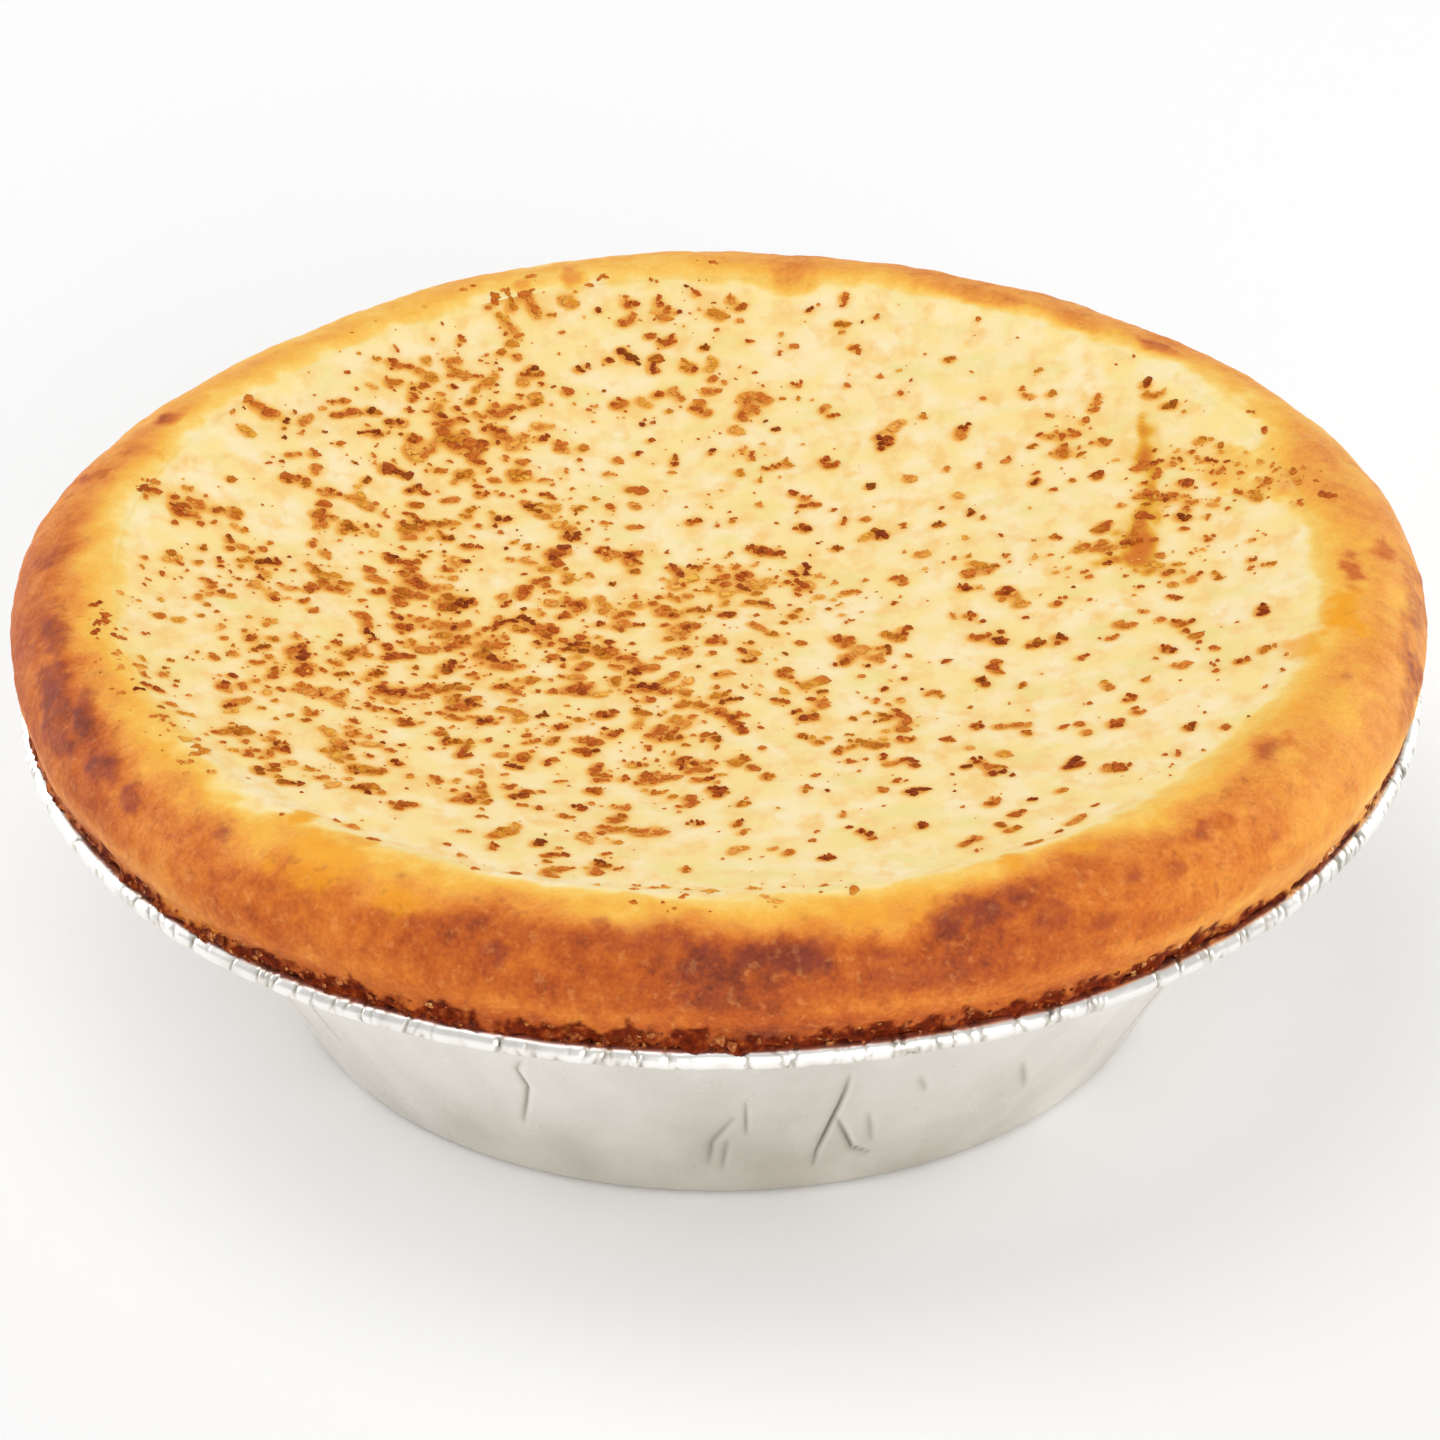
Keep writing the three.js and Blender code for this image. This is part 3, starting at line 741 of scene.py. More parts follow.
def baked_at(places, angles, beyond):
    """How far the skin is baked, from 0 to 1, at a distance beyond the seam of custard and pastry in mm."""
    flat = places * LEVEL
    along_rim = rim_places(angles, beyond, 3)
    bearings, *columns = zip(*BAKING_ROUND)
    turned_yellow, turned_brown, brown = (round_the_tart(angles, zip(bearings, column)) for column in columns)
    past = beyond - turned_yellow + layered_noise(flat, RAGGED_YELLOW)
    yellow = sum(step * smooth_step(past, start, end) for step, start, end in YELLOWING)
    browned = smooth_step(beyond - turned_brown + 1.5 * soft_noise(flat, 3.4, 19), *BROWNING)
    from_band = beyond - PALE_BAND_PLACE + 0.7 * soft_noise(along_rim, 3, 24)
    band = np.exp(-((from_band / PALE_BAND_HALF_WIDTH) ** 2)) * (0.75 + 0.6 * soft_noise(places, 9, 25))
    mottle = layered_noise(places, [(0.1, 7, 26), (0.07, 1.6, 27)]) + 0.1 * soft_noise(along_rim, 2.6, 20)
    bake = yellow + (brown - yellow) * browned - PALE_BAND_STRENGTH * band
    bake = bake + mottle * smooth_step(beyond, 0.5, 4.0) + patches_at(angles, beyond, flat, TANNED_PATCHES)
    return np.clip(bake, 0, MOST_BAKED)


def pastry_crust():
    angles = np.linspace(-math.pi, math.pi, CRUST_STEPS, endpoint=False)
    profile, foot, floor, inner_floor = crust_profile()
    crown = foot + LIP_RINGS - 1
    edge = crown + RISE_RINGS
    r, z = spun(profile, CRUST_STEPS)
    ring = np.arange(len(profile))[:, None]
    on_lip = (ring >= foot - 1) & (ring <= crown)
    up = (z - FLANGE_FACE) / (CROWN_HEIGHT - FLANGE_FACE)
    swell = np.clip(2 * up, 0, 1)
    wander = LIP_WANDER * lip_wave(angles) * swell + FOOT_WANDER * foot_wave(angles) * (1 - swell)
    to_border = rise_share(profile[:, :1])
    on_rise = (ring > crown) & (ring <= edge)
    r = r + on_lip * wander + on_rise * LIP_WANDER * lip_wave(angles) * to_border
    z = z + (on_lip * up + on_rise * smooth_step(to_border, 0, 1)) * CROWN_WANDER * crown_wave(angles)
    share = np.clip((z - inner_floor) / (BORDER_HEIGHT - BORDER_EDGE - inner_floor), 0, 1)
    r = r + ((ring > crown) & ~on_rise) * share * BORDER_WANDER * border_wave(angles)
    places = ring_points(angles, r, z)

    # Relief pushes the skin outwards, and straight up on the rise. It grows with distance from the custard.
    outwards = np.arctan2(profile[:, 1:] - LIP_HEIGHT, profile[:, :1] - CROWN_RADIUS)
    outwards = np.where(ring > crown, math.pi / 2, outwards)
    step = np.hypot(*np.diff(profile, axis=0).T)
    travelled = np.concatenate([[0], np.cumsum(step)])
    seam = np.interp(SEAM_RADIUS, profile[edge:crown:-1, 0], travelled[edge:crown:-1])
    from_custard = (seam - travelled)[:, None] + np.zeros(CRUST_STEPS)
    shown = (on_lip | on_rise) * smooth_step(ring, foot - 1, foot + 1)
    lumpy = shown * smooth_step(from_custard, 0.2, 3.6)
    blisters = patches_at(angles, from_custard, places, BLISTERS)
    lumps = layered_noise(places, PASTRY_LUMPS) + BLISTER_RISE * blisters
    push = lumps * lumpy + skin_relief(places) * shown * (1 - lumpy)

    # Over the flange the foot thins out into a ragged skirt, and at both edges the skin dips out of sight.
    height = z - FLANGE_FACE
    skirt = round_the_tart(angles, SKIRT_ROUND) * (0.8 + 0.7 * soft_noise(places, 1.7, 17))
    skirt = (skirt + 0.3 * soft_noise(places, 0.7, 18)) * shown * (1 - smooth_step(height, 0.4, 2.4))
    tucked = on_rise * tuck_depth(-from_custard) + 0.3 * shown * (1 - smooth_step(height, 0, 0.7))
    r, z = r + push * np.cos(outwards) + skirt, z + push * np.sin(outwards) - tucked
    piece = turned_piece("pastry_crust", ring_points(angles, r, z), poles=(floor, inner_floor))

    bake = baked_at(places, angles, from_custard) + BLISTER_BAKE * blisters
    paint(piece, "bake", np.clip(bake, 0, MOST_BAKED))
    paint(piece, "blister", BLISTER_TINT * blisters)
    paint(piece, "syrup", syrup_at(places, angles, from_custard))
    uneven = layered_noise(places * np.array([1, 1, 0.35]), RAGGED_SCORCH) + 0.5 * soft_noise(places, 0.5, 39)
    scorch = 1 - smooth_step(height - round_the_tart(angles, SCORCH_ROUND) - uneven, *SCORCH_EDGE)
    paint(piece, "scorch", scorch * (ring < foot + SCORCHED_RINGS))
    return piece


def mottled(tree, colour, share, mottles):
    """A colour with mottles of other colours over it. A share of 0 leaves them out, 1 shows them in full."""
    for size, detail, stretch, limits, strength, tint in mottles:
        cloudy = spread(tree, noise_node(tree, size, detail, stretch), *limits, 0, strength)
        colour = blend_colours(tree, product_node(tree, cloudy, share), colour, display(*tint))
    return colour


def baked_skin(tree, shader):
    """Colour, roughness and relief that follow how far the skin is baked: the same for custard and pastry."""
    baked = painted(tree, "bake")
    coarse, fine = (
        spread(tree, noise_node(tree, size, detail), 0.2, 0.8, -0.08, 0.08) for size, detail in BAKED_GRAIN
    )
    unevenness = product_node(tree, sum_node(tree, coarse, fine), spread(tree, baked, 0.12, 0.5, 0.22, 1.0))
    bake = sum_node(tree, baked, unevenness)
    crumb = sum_node(tree, noise_node(tree, 0.9, 4), noise_node(tree, 0.3, 2))
    relief = product_node(tree, crumb, spread(tree, baked, 0.15, 0.5, 0.12, 1.0))
    look = {
        "Roughness": spread(tree, bake, 0.1, 0.8, 0.42, 0.6),
        "Normal": fine_relief(tree, relief, 0.16, 0.9),
        "Specular IOR Level": 0.25,
    }
    set_inputs(tree, shader, look)
    pale = spread(tree, baked, 0.05, 0.2, 1, 0)
    colour = mottled(tree, colour_steps(tree, bake, BAKING_COLOURS), pale, PALE_MOTTLES)
    return blend_colours(tree, painted(tree, "syrup"), colour, display(*SYRUP_COLOUR))


def light_inside(depth):
    """Shader inputs for light that enters the piece and comes out again up to about depth mm away."""
    return {"Subsurface Weight": 0.15, "Subsurface Radius": (1.0, 0.55, 0.3), "Subsurface Scale": depth * MM}


def short_pastry():
    finish, tree, shader = new_finish("short_pastry")
    browned = spread(tree, painted(tree, "bake"), 0.3, 0.6)
    colour = mottled(tree, baked_skin(tree, shader), browned, CRUMB_MOTTLES)
    ragged = spread(tree, noise_node(tree, 1.1, 5), 0.35, 0.65, 0.25, 1.0)
    blistered = product_node(tree, painted(tree, "blister"), ragged)
    colour = blend_colours(tree, blistered, colour, display(*BLISTER_COLOUR))
    scorched = painted(tree, "scorch")
    burnt = colour_steps(tree, noise_node(tree, 0.9, 4), SCORCH_COLOURS)
    look = {
        "Base Color": blend_colours(tree, scorched, colour, burnt),
        "Specular IOR Level": spread(tree, scorched, 0, 1, 0.25, 0.05),
        **light_inside(1.5),
    }
    set_inputs(tree, shader, look)
    return finish


crust = pastry_crust()
crust.data.materials.append(short_pastry())
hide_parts("pastry_shell")
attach(crust, "root")

# Scorched crumbs
# Bits of the thin pastry edge that broke up and burnt on the hot foil.
# They are baked fast along the foot of the crust, and a few to the bare flange.

CRUMB_SEED = 77
CRUMB_CORNERS = 7
CRUMBS = 900
HIGHEST_CRUMB = 2.2
LARGEST_CRUMB = 0.5
FLANGE_CRUMBS = 160
BARE_FLANGE = (62.0, 63.3)

# How thickly they lie, bearing by bearing in degrees, as a share of the thickest.
CRUMBS_ROUND = [
    (-180, 0.6), (-160, 0.9), (-140, 1.0), (-110, 0.8), (-70, 0.5), (-40, 0.35), (20, 0.25), (100, 0.4),
]
CRUMB_COLOURS = [
    (0.0, (72, 20, 6)), (0.3, (124, 48, 16)), (0.6, (184, 104, 50)),
    (0.85, (226, 166, 100)), (1.0, (242, 208, 156)),
]

# A grain has two rings of corners: the reach of each as a share of the grain's, its height likewise.
# Each corner is a little out of place, in reach, turn and height, and the whole grain is bent.
GRAIN_RINGS = [(1.0, 0.05), (0.6, 0.8)]
GRAIN_UNEVENNESS = 0.34
CORNER_TURN = 0.25
CORNER_HEIGHT = (0.7, 1.2)
GRAIN_BEND = 0.5
GRAIN_UNDERSIDE = -0.4
SHADE_UNEVENNESS = 0.12


def points_of(piece):
    """The piece's points in mm."""
    places = np.empty(len(piece.data.vertices) * 3, dtype=np.float32)
    piece.data.vertices.foreach_get("co", places)
    return places.reshape(-1, 3) / MM


def surface_tree(piece):
    """The piece's surface in mm, for finding where a ray meets it."""
    faces = [list(face.vertices) for face in piece.data.polygons]
    return BVHTree.FromPolygons(points_of(piece).tolist(), faces)


def grain_mesh(name, grains, corners, random):
    """Uneven domes with a blunt underside. A grain is its ground, upward direction, turn, half length,
    half width, height and shade from 0 to 1."""
    around = np.arange(corners) / corners * FULL_TURN
    thin_edge = np.concatenate([np.full(corners, 0.2), np.zeros(corners), [-0.05, 0.3]])
    points, faces, shades = [], [], []
    for ground, slope, turn, length, width, height, shade in grains:
        uneven = 1 + GRAIN_UNEVENNESS * random.uniform(-1, 1, (2, corners))
        wobble = around + random.uniform(-CORNER_TURN, CORNER_TURN, corners)
        bend = random.uniform(-GRAIN_BEND, GRAIN_BEND) * width
        shapes = []
        for ring, (share, rise) in enumerate(GRAIN_RINGS):
            across = share * uneven[ring] * np.cos(wobble) * length
            along = share * uneven[ring] * np.sin(wobble) * width + bend * (across / length) ** 2
            lift = rise * height * random.uniform(*CORNER_HEIGHT, corners)
            shapes.append(np.stack([across, along, lift], axis=1))
        shapes.append(np.array([[0, bend * 0.1, height], [0, 0, GRAIN_UNDERSIDE * height]]))
        stand = slope.to_track_quat("Z", "Y").to_matrix() @ Matrix.Rotation(turn, 3, "Z")
        first = len(points) * (2 * corners + 2)
        points.append(np.concatenate(shapes) @ np.array(stand).T + np.array(ground))
        outer, upper = first + np.arange(corners), first + corners + np.arange(corners)
        outer_next, upper_next = np.roll(outer, -1), np.roll(upper, -1)
        top, bottom = first + 2 * corners, first + 2 * corners + 1
        faces += np.stack([outer, outer_next, upper_next, upper], axis=1).tolist()
        faces += [[a, b, top] for a, b in zip(upper.tolist(), upper_next.tolist())]
        faces += [[b, a, bottom] for a, b in zip(outer.tolist(), outer_next.tolist())]
        random_shades = random.uniform(-SHADE_UNEVENNESS, SHADE_UNEVENNESS, 2 * corners + 2)
        shades.append(np.clip(shade + thin_edge + random_shades, 0, 1))
    piece = new_piece(name, np.concatenate(points), faces)
    paint(piece, "shade", np.concatenate(shades))
    return piece


def crumbs_at_foot(random):
    """Crumbs on the lowest part of the crust, found by looking inwards at it, and some on the flange."""
    crust_surface, rim_surface = surface_tree(crust), surface_tree(rim)
    grains = []
    while len(grains) < CRUMBS:
        bearing = random.uniform(-math.pi, math.pi)
        if random.uniform() > round_the_tart(bearing, CRUMBS_ROUND):
            continue
        outwards = Vector((math.cos(bearing), math.sin(bearing), 0))
        height = FLANGE_FACE + 0.1 + HIGHEST_CRUMB * random.uniform() ** 1.4
        ground, slope, _, _ = crust_surface.ray_cast(outwards * 72 + Vector((0, 0, height)), -outwards)
        if ground is None:
            continue
        size = min(LARGEST_CRUMB, 0.25 * math.exp(random.normal(0, 0.38)))
        shade = random.normal(0.2, 0.17) + 0.13 * (height - FLANGE_FACE)
        turn, width = random.uniform(0, math.pi), size * random.uniform(0.6, 1)
        grains.append((ground, slope, turn, size, width, 0.6 * size, shade))
    for _ in range(FLANGE_CRUMBS):
        bearing = random.uniform(-math.pi, math.pi)
        reach = random.uniform(*BARE_FLANGE)
        place = Vector((reach * math.cos(bearing), reach * math.sin(bearing), 34))
        ground, slope, _, _ = rim_surface.ray_cast(place, Vector((0, 0, -1)))
        if ground is None or random.uniform() > round_the_tart(bearing, CRUMBS_ROUND):
            continue
        size = 0.17 * math.exp(random.normal(0, 0.3))
        width, shade = size * random.uniform(0.6, 1), random.normal(0.28, 0.22)
        grains.append((ground, slope, 0.0, size, width, 0.7 * size, shade))
    return grains


def flecked(tree, size, low, high, change):
    """The painted shade with flecks of a size in mm that make it up to change lighter or darker."""
    flecks = spread(tree, noise_node(tree, size, 3), low, high, -change, change)
    return sum_node(tree, painted(tree, "shade"), flecks)


def burnt_crumb():
    finish, tree, shader = new_finish("burnt_crumb")
    look = {
        "Base Color": colour_steps(tree, flecked(tree, 0.3, 0.3, 0.7, 0.15), CRUMB_COLOURS),
        "Roughness": 0.7,
        "Specular IOR Level": 0.15,
        "Normal": fine_relief(tree, noise_node(tree, 0.2, 3), 0.06, 0.8),
    }
    set_inputs(tree, shader, look)
    return finish


broken = np.random.default_rng(CRUMB_SEED)
crumbs = grain_mesh("scorched_crumbs", crumbs_at_foot(broken), CRUMB_CORNERS, broken)
crumbs.data.materials.append(burnt_crumb())
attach(crumbs, "root")

# Custard
# Milk custard, poured in and baked: its pale skin sinks towards the middle and rises to the pastry.
# It yellows towards the pastry, and a smear of caramel lies on its right side.

CUSTARD_STEPS = 640
CUSTARD_RINGS = 112
RING_SPACING = 0.82
CUSTARD_TUCK = 2.4
SKIN_WAVE = 0.16
SKIN_WAVES = [(0.16, 0.09, 1.1), (-0.12, 0.21, 2.3), (0.33, 0.0, -0.4)]

# The smear: a stroke through these places, and drips beside its foot.
# Each is x, y and half width in mm, and depth of colour.
SMEAR = [
    (40.2, 29.6, 1.1, 0.5), (39.8, 26.6, 1.7, 0.72), (39.8, 23.8, 1.6, 0.72), (40.4, 21.5, 0.9, 0.62),
    (40.3, 18.0, 0.8, 0.6), (40.0, 15.2, 0.9, 0.66), (39.5, 12.6, 1.4, 0.95), (38.8, 10.4, 1.8, 1.0),
    (38.4, 8.0, 1.8, 0.95), (38.6, 5.4, 1.4, 0.8),
]
SMEAR_FOOT = [(36.4, 6.4, 1.1, 0.7), (34.6, 6.2, 0.9, 0.5), (39.3, 3.6, 0.9, 0.6), (37.0, 11.0, 1.0, 0.5)]
SMEAR_SPOTS = 8
CARAMEL_COLOURS = [
    (0.0, (247, 208, 112)), (0.45, (233, 172, 46)), (0.7, (221, 143, 28)), (0.95, (211, 115, 14)),
]
STEEPED_COLOURS = [(0.0, (247, 212, 128)), (0.45, (242, 180, 78)), (1.0, (222, 136, 40))]


def custard_height(x, y):
    share = np.clip(np.hypot(x, y) / BORDER_RADIUS, 0, 1)
    waves = sum(np.cos(across * x + along * y + shift) for across, along, shift in SKIN_WAVES)
    return BORDER_HEIGHT - DISH_DEPTH * (1 - share**DISH_POWER) + SKIN_WAVE * waves * (1 - share**4)


def smear_spots():
    """Spots close together all along the smear, and the ones at its foot."""
    shares = np.linspace(0, 1, SMEAR_SPOTS, endpoint=False)
    pairs = zip(np.array(SMEAR), np.array(SMEAR)[1:])
    return [start + (end - start) * share for start, end in pairs for share in shares] + SMEAR_FOOT


def custard_filling():
    angles = np.linspace(-math.pi, math.pi, CUSTARD_STEPS, endpoint=False)
    floor = FOIL_THICKNESS + SHELL_BASE_THICKNESS + 2 * GAP
    reach = BORDER_RADIUS - GAP / 2
    below = [
        (FLOOR_RING_RADIUS, floor),
        (SHELL_INNER_BASE_RADIUS - GAP / 2, floor),
        (INNER_WALL_MIDDLE[0] - GAP / 2, INNER_WALL_MIDDLE[1]),
        (reach, BORDER_HEIGHT - BORDER_EDGE),
    ]
    on_skin = np.linspace(1, 0, CUSTARD_RINGS, endpoint=False) ** RING_SPACING * (reach + CUSTARD_TUCK)
    r = np.concatenate([[point[0] for point in below], on_skin])[:, None] + np.zeros(CUSTARD_STEPS)
    ring = np.arange(len(r))[:, None]
    skin = ring >= len(below)
    r = r + BORDER_WANDER * border_wave(angles) * r / reach * (ring >= len(below) - 1)
    places = ring_points(angles, r, 0 * r)
    x, y = places[..., 0], places[..., 1]
    z = np.where(r < RISE_START, custard_height(x, y), rise_at(angles, r)) + skin_relief(places)
    hidden = np.array([point[1] for point in below] + [0] * CUSTARD_RINGS)[:, None]
    z = np.where(skin, z, hidden)
    piece = turned_piece("custard_filling", ring_points(angles, r, z), poles=(floor, float(z[-1].mean())))

    paint(piece, "bake", np.where(skin, baked_at(places, angles, r - SEAM_RADIUS), 0))
    paint(piece, "syrup", np.where(skin, syrup_at(places, angles, r - SEAM_RADIUS), 0))
    smear = np.zeros(x.shape)
    for middle_x, middle_y, half_width, depth in smear_spots():
        away = np.hypot(x - middle_x, y - middle_y) / half_width
        smear = np.maximum(smear, depth * np.exp(-(away**2)))
    torn = 0.7 * soft_noise(places, 2.2, 36) + 0.9 * soft_noise(places * np.array([1, 0.3, 1]), 0.9, 37)
    paint(piece, "smear", np.where(skin, np.clip(smear * (1 + torn), 0, 1), 0))
    return piece


def baked_custard():
    finish, tree, shader = new_finish("baked_custard")
    colour = baked_skin(tree, shader)
    steep, smear = painted(tree, "steep"), painted(tree, "smear")
    steeped = colour_steps(tree, steep, STEEPED_COLOURS)
    colour = blend_colours(tree, spread(tree, steep, 0.0, 0.5), colour, steeped)
    caramel = colour_steps(tree, smear, CARAMEL_COLOURS)
    colour = blend_colours(tree, spread(tree, smear, 0.05, 0.5), colour, caramel)
    set_inputs(tree, shader, {"Base Color": colour, **light_inside(2)})
    return finish


custard = custard_filling()
custard.data.materials.append(baked_custard())
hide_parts("custard")
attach(custard, "root")

# Cinnamon
# Ground cinnamon shaken over the tart before baking: clumps, shreds and fine dust, stuck in the skin.
# It lies most thickly on the left and in the middle, and has steeped the custard round it.

# The large flakes, which the model has too. They lie most thickly where the cinnamon was shaken most:
# x, y and reach in mm, and strength.
FLAKE_COUNT = 160
FLAKE_TRIES = 9000
FLAKE_FIELD_RADIUS = 50.5
LONGEST_FLAKE = 2
SHORTEST_FLAKE = 0.85
FLAKE_SPACING = 0.3
FLAKE_WIDTH_SHARE = 0.68
FLAKE_SEED = 2718
EVEN_DUSTING = 0.13
SHAKES = [
    (-27, -18, 20, 1.0), (-8, -24, 15, 0.75), (-27, 29, 9.5, 1.0), (-24, 8, 15, 0.62), (2, 1, 11, 0.62),
    (-5, 45, 6, 0.7), (25, 24, 10, 0.34), (39, 6, 7, 0.42), (30, -16, 13, 0.26),
]

# Where the smaller cinnamon lies more thickly: x, y, reach in mm and how much of the skin it covers.
SPRINKLES = [
    (40, 7, 5, 0.42), (-25, 34, 7, 0.68), (4, 7, 6, 0.5), (-20, -9, 5, 0.3), (-20, -8, 20, 0.46),
    (-38, -10, 6, 0.46), (-37, 28, 5, 0.34), (-44, 3, 5, 0.42), (44, 20, 5, 0.35), (-32, 12, 6, 0.33),
    (-16, 20, 6, 0.34), (-34, -29, 5, 0.32), (-4, -26, 6, 0.2), (5, -3, 4, 0.24), (-24, 40, 5, 0.28),
    (-4, 51, 5, 0.42), (-12, 37, 4, 0.2), (-49.5, 14, 3.5, 0.3), (-34, 40, 3, 0.25), (0, 32, 6, 0.29),
    (-8, -8, 6, 0.26), (13, -19, 5, 0.14), (26, 6, 5, 0.16), (-12, -36, 5, 0.2), (32, 28, 6, 0.2),
    (12, -8, 6, 0.14), (-52, -21, 7, 0.2), (-55, -10, 5, 0.26), (-52, -26, 4, 0.22), (-47, -34, 5, 0.16),
    (-4, -57, 3.2, 0.3), (-12.5, -49.5, 3, 0.3), (7, -58, 4.5, 0.22), (50, 14, 7, 0.2), (-18, 53, 7, 0.16),
]
THINLY_EVERYWHERE = 0.036

# The pieces in which it lies: clumps for the large flakes, chains of grains, and dust.
SPRINKLE_SEED = 2718
CLUMP_GRAINS = (4, 9)
CLUMP_REACH = 0.62
CLUMP_HEIGHT = 0.24
CHAINS = 1420
CHAIN_FIELD_RADIUS = 58
CHAIN_SPACING = 1.0
PLACE_TRIES = 12
LONGEST_CHAIN = 5
LONGEST_GRAIN = 0.85
CHAIN_HEIGHT = 0.15
DUST_GRAINS = 1000
DUST_FIELD_RADIUS = 60
DUST_HEIGHT = 0.06
FLAKE_CORNERS = 9
DUST_CORNERS = 5

# How the cinnamon stains the custard round it. The stain is worked out in square cells over a square field,
# and spreads over two reaches in mm, each with its weight.
STAIN_CELL = 0.3
STAIN_HALF_SIDE = 60
STAIN_REACHES = [(0.5, 1.0), (1.5, 0.5)]
STAIN_TAPS = np.arange(-12, 13)
STAIN_STRENGTH = 38
BRICK_COLOURS = [(0.0, (130, 50, 8)), (0.35, (188, 90, 24)), (0.7, (218, 130, 46)), (1.0, (242, 180, 84))]
OCHRE_COLOURS = [(0.0, (130, 68, 4)), (0.35, (184, 106, 14)), (0.7, (217, 148, 34)), (1.0, (241, 188, 74))]


def lying_at(x, y, heaps):
    """How much of these heaps of cinnamon lies at a place. A heap is x, y, reach in mm and strength."""
    return sum(
        strength * math.exp(-((x - middle_x) ** 2 + (y - middle_y) ** 2) / reach**2)
        for middle_x, middle_y, reach, strength in heaps
    )


def flake_places():
    """The large flakes, at the places where the model has them."""
    draw = seeded_draw(FLAKE_SEED)
    kept = []
    for _ in range(FLAKE_TRIES):
        if len(kept) == FLAKE_COUNT:
            break
        x = (2 * draw() - 1) * FLAKE_FIELD_RADIUS
        y = (2 * draw() - 1) * FLAKE_FIELD_RADIUS
        turn = draw() * math.pi
        half = LONGEST_FLAKE - (LONGEST_FLAKE - SHORTEST_FLAKE) * math.sqrt(len(kept) / FLAKE_COUNT)
        dusting = min(1, EVEN_DUSTING + lying_at(x, y, SHAKES))
        wanted = math.hypot(x, y) < FLAKE_FIELD_RADIUS and draw() < dusting
        gaps = (math.hypot(flake[0] - x, flake[1] - y) - flake[3] - half for flake in kept)
        if wanted and all(gap > FLAKE_SPACING for gap in gaps):
            kept.append((x, y, turn, half))
    return kept


def clumps(random):
    """Each large flake as a clump of grains: x, y, turn, half length, half width, height, shade."""
    grains = []
    for x, y, turn, half in flake_places():
        tone = random.normal(0.27, 0.16)
        for _ in range(random.integers(*CLUMP_GRAINS)):
            along, across = random.uniform(-CLUMP_REACH, CLUMP_REACH, 2) * half
            across *= FLAKE_WIDTH_SHARE
            grain_x = x + along * math.cos(turn) - across * math.sin(turn)
            grain_y = y + along * math.sin(turn) + across * math.cos(turn)
            size = half * random.uniform(0.18, 0.36)
            width, grain_turn = size * random.uniform(0.55, 0.95), random.uniform(0, math.pi)
            shade = random.normal(tone, 0.14)
            grains.append((grain_x, grain_y, grain_turn, size, width, CLUMP_HEIGHT, shade))
    return grains


def cloudiness(x, y):
    """Cinnamon falls in small clouds: how much thicker or thinner it lies here than nearby."""
    cloud = noise.noise(Vector((x / 6, y / 6, 41))) + 0.7 * noise.noise(Vector((x / 2.5, y / 2.5, 43)))
    return min(2.0, max(0.04, 1 + 1.5 * cloud))


def landed(random, reach):
    """A place where cinnamon has landed, thickest where it was shaken most."""
    while True:
        x, y = random.uniform(-reach, reach, 2)
        thickness = THINLY_EVERYWHERE * (math.hypot(x, y) < BORDER_RADIUS) + lying_at(x, y, SPRINKLES)
        if math.hypot(x, y) < reach and random.uniform() < thickness * cloudiness(x, y):
            return x, y


def chains(random):
    """Smaller clumps and shreds: short crooked chains of touching grains, a little apart from each other."""
    grains, taken = [], {}
    for _ in range(CHAINS):
        for _ in range(PLACE_TRIES):
            x, y = landed(random, CHAIN_FIELD_RADIUS)
            cell = (int(x / CHAIN_SPACING), int(y / CHAIN_SPACING))
            near = [taken.get((cell[0] + i, cell[1] + j)) for i in (-1, 0, 1) for j in (-1, 0, 1)]
            if all(other is None or math.hypot(other[0] - x, other[1] - y) > CHAIN_SPACING for other in near):
                break
        taken[cell] = (x, y)
        heading, tone = random.uniform(0, FULL_TURN), random.normal(0.5, 0.2)
        scale = math.exp(random.normal(0, 0.3))
        for _ in range(min(LONGEST_CHAIN, random.geometric(0.42))):
            length = min(LONGEST_GRAIN, 0.35 * scale * math.exp(random.normal(0, 0.25)))
            width, turn = length * random.uniform(0.5, 0.95), heading + random.normal(0, 0.5)
            grains.append((x, y, turn, length, width, CHAIN_HEIGHT, random.normal(tone, 0.08)))
            heading += random.normal(0, 0.7)
            x += length * random.uniform(0.9, 1.5) * math.cos(heading)
            y += length * random.uniform(0.9, 1.5) * math.sin(heading)
    return grains


def dust_grains(random):
    """Single specks of fine powder."""
    grains = []
    for _ in range(DUST_GRAINS):
        x, y = landed(random, DUST_FIELD_RADIUS)
        length, turn = 0.18 * math.exp(random.normal(0, 0.3)), random.uniform(0, math.pi)
        width = length * random.uniform(0.5, 1)
        grains.append((x, y, turn, length, width, DUST_HEIGHT, random.normal(0.66, 0.15)))
    return grains


def ground_under(x, y):
    """The topmost point of custard or crust at a place, and its upward direction."""
    best, slope = None, None
    for surface in surfaces:
        place, normal, _, _ = surface.ray_cast(Vector((x, y, 60)), Vector((0, 0, -1)))
        if place is not None and (best is None or place.z > best.z):
            best, slope = place, normal
    return best, slope


def settled(grains):
    """The grains on their ground, as grain_mesh takes them."""
    grounds = [ground_under(x, y) for x, y, *_ in grains]
    return [(*ground, *grain[2:]) for ground, grain in zip(grounds, grains) if ground[0] is not None]


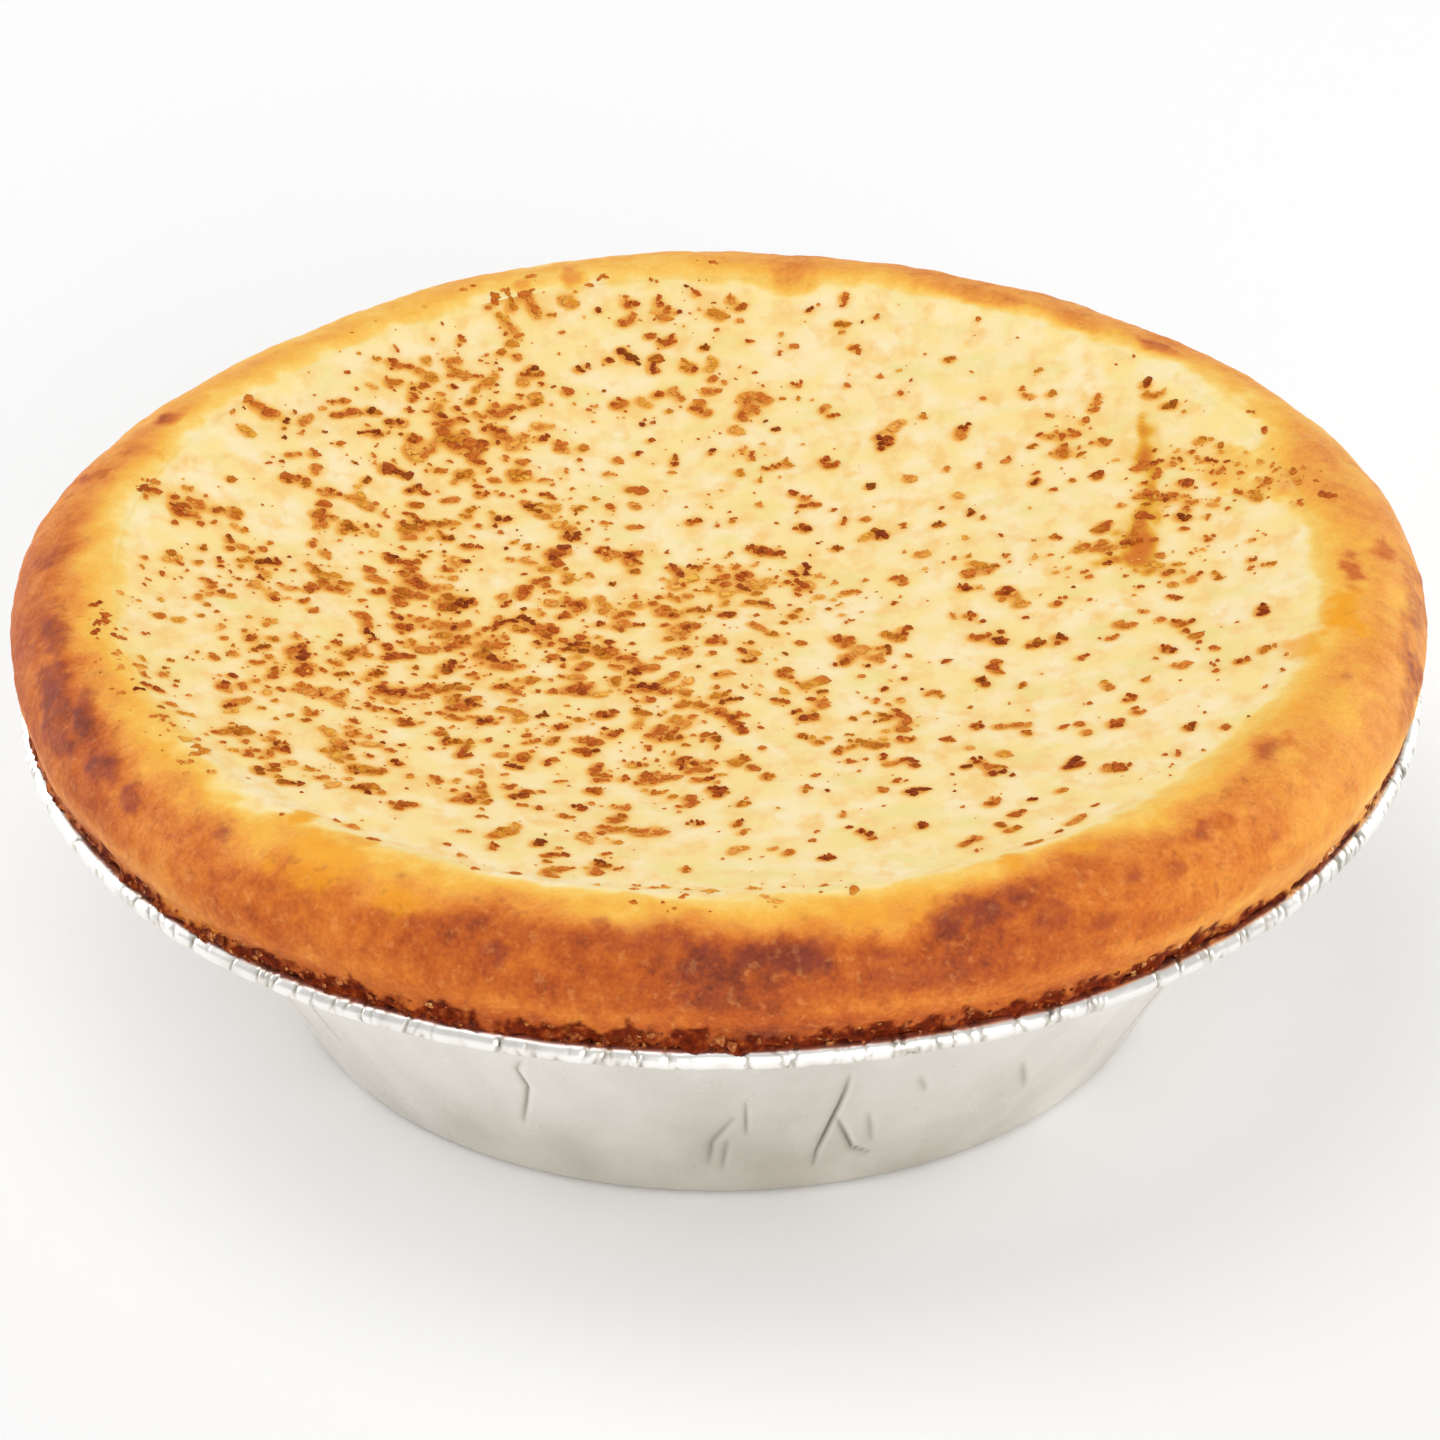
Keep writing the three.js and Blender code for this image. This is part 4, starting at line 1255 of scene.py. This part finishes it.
def steeped_skin(piece, grains):
    """Paints how strongly the cinnamon has stained the custard near each point."""
    cells = int(2 * STAIN_HALF_SIDE / STAIN_CELL)
    stain = np.zeros((cells, cells))
    for x, y, _, length, width, _, _ in grains:
        column, row = int((x + STAIN_HALF_SIDE) / STAIN_CELL), int((y + STAIN_HALF_SIDE) / STAIN_CELL)
        stain[row, column] += length * width
    spread_out = np.zeros_like(stain)
    for reach, weight in STAIN_REACHES:
        kernel = np.exp(-((STAIN_TAPS * STAIN_CELL / reach) ** 2))
        kernel /= kernel.sum()
        rows = np.apply_along_axis(np.convolve, 0, stain, kernel, mode="same")
        spread_out += weight * np.apply_along_axis(np.convolve, 1, rows, kernel, mode="same")
    places = points_of(piece)
    column, row = np.clip((places[:, :2].T + STAIN_HALF_SIDE) / STAIN_CELL, 0, cells - 2)
    left, lower = column.astype(int), row.astype(int)
    strength = 0
    for right, up in ((0, 0), (1, 0), (0, 1), (1, 1)):
        share = np.abs(1 - right - (column - left)) * np.abs(1 - up - (row - lower))
        strength = strength + spread_out[lower + up, left + right] * share
    on_top = places[:, 2] > BORDER_HEIGHT - DISH_DEPTH - 1
    paint(piece, "steep", np.where(on_top, np.clip(strength * STAIN_STRENGTH, 0, 1), 0))


def ground_cinnamon():
    finish, tree, shader = new_finish("ground_cinnamon")
    shade = flecked(tree, 0.35, 0.25, 0.75, 0.16)
    brick, ochre = colour_steps(tree, shade, BRICK_COLOURS), colour_steps(tree, shade, OCHRE_COLOURS)
    ochre_share = spread(tree, noise_node(tree, 3.2, 2), 0.5, 0.6, 0, 0.75)
    look = {
        "Base Color": blend_colours(tree, ochre_share, brick, ochre),
        "Roughness": 0.75,
        "Specular IOR Level": 0.12,
        "Normal": fine_relief(tree, noise_node(tree, 0.2, 3), 0.08, 0.7),
    }
    set_inputs(tree, shader, look)
    return finish


surfaces = [surface_tree(custard), surface_tree(crust)]
sprinkle = np.random.default_rng(SPRINKLE_SEED)
flakes = clumps(sprinkle) + chains(sprinkle)
dust = dust_grains(sprinkle)
cinnamon = ground_cinnamon()
for name, grains, corners in (
    ("cinnamon_flakes", flakes, FLAKE_CORNERS),
    ("cinnamon_dust", dust, DUST_CORNERS),
):
    sprinkled = grain_mesh(name, settled(grains), corners, sprinkle)
    sprinkled.data.materials.append(cinnamon)
    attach(sprinkled, "root")
steeped_skin(custard, flakes + dust)

# Table, light and camera
# A plain white table under soft studio light, seen from the front and a third of the way up.
# Here sizes are in metres, but lens and sensor in mm, and powers in watts.

TABLE_HALF = 2.5
WORLD_STRENGTH = 0.59
CAMERA_TARGET = 19.5 * MM
CAMERA_DISTANCE = 0.78
CAMERA_ELEVATION = math.radians(31.92)
AIM_HIGHER = math.radians(0.368)
AIM_LEFT = math.radians(0.0114)
CAMERA_ROLL = math.radians(-0.667)
FOCAL_LENGTH = 210.6
SENSOR = 36


def white_table():
    mesh = bpy.data.meshes.new("table")
    corners = [(-1, -1), (1, -1), (1, 1), (-1, 1)]
    mesh.from_pydata([(x * TABLE_HALF, y * TABLE_HALF, 0) for x, y in corners], [], [(0, 1, 2, 3)])
    table = bpy.data.objects.new("table", mesh)
    bpy.context.collection.objects.link(table)
    finish, tree, shader = new_finish("white_table")
    set_inputs(tree, shader, {"Base Color": (0.95, 0.95, 0.95, 1), "Roughness": 0.8})
    mesh.materials.append(finish)
    return table


def soft_light(name, place, size, power):
    light = bpy.data.lights.new(name, "AREA")
    light.shape = "DISK"
    light.size = size
    light.energy = power
    lamp = bpy.data.objects.new(name, light)
    lamp.location = place
    lamp.rotation_euler = (-Vector(place)).to_track_quat("-Z", "Y").to_euler()
    bpy.context.collection.objects.link(lamp)


def photo_camera():
    lens = bpy.data.cameras.new("photo_camera")
    lens.sensor_width = SENSOR
    lens.lens = FOCAL_LENGTH
    lens.clip_start = 0.01
    camera = bpy.data.objects.new("photo_camera", lens)
    back, up = math.cos(CAMERA_ELEVATION), math.sin(CAMERA_ELEVATION)
    place = Vector((0, -CAMERA_DISTANCE * back, CAMERA_TARGET + CAMERA_DISTANCE * up))
    tilt = math.pi / 2 - CAMERA_ELEVATION + AIM_HIGHER
    aim = Matrix.Rotation(AIM_LEFT, 4, "Z") @ Matrix.Rotation(tilt, 4, "X")
    aim = aim @ Matrix.Rotation(CAMERA_ROLL, 4, "Z")
    camera.matrix_world = Matrix.Translation(place) @ aim
    bpy.context.collection.objects.link(camera)
    bpy.context.scene.camera = camera


white_table()
soft_light("top_light", (-0.2, 0.0, 1.1), 0.9, 3)
soft_light("front_light", (0.4, -1.1, 0.35), 0.9, 6.2)
soft_light("left_light", (-1.0, 0.5, 0.35), 0.8, 4.6)
soft_light("right_light", (1.0, 0.6, 0.35), 0.8, 4)
photo_camera()
world = bpy.data.worlds.new("studio")
world.use_nodes = True
background = world.node_tree.nodes["Background"]
set_inputs(world.node_tree, background, {"Color": (1, 1, 1, 1), "Strength": WORLD_STRENGTH})
bpy.context.scene.world = world
bpy.context.scene.view_settings.view_transform = "Standard"
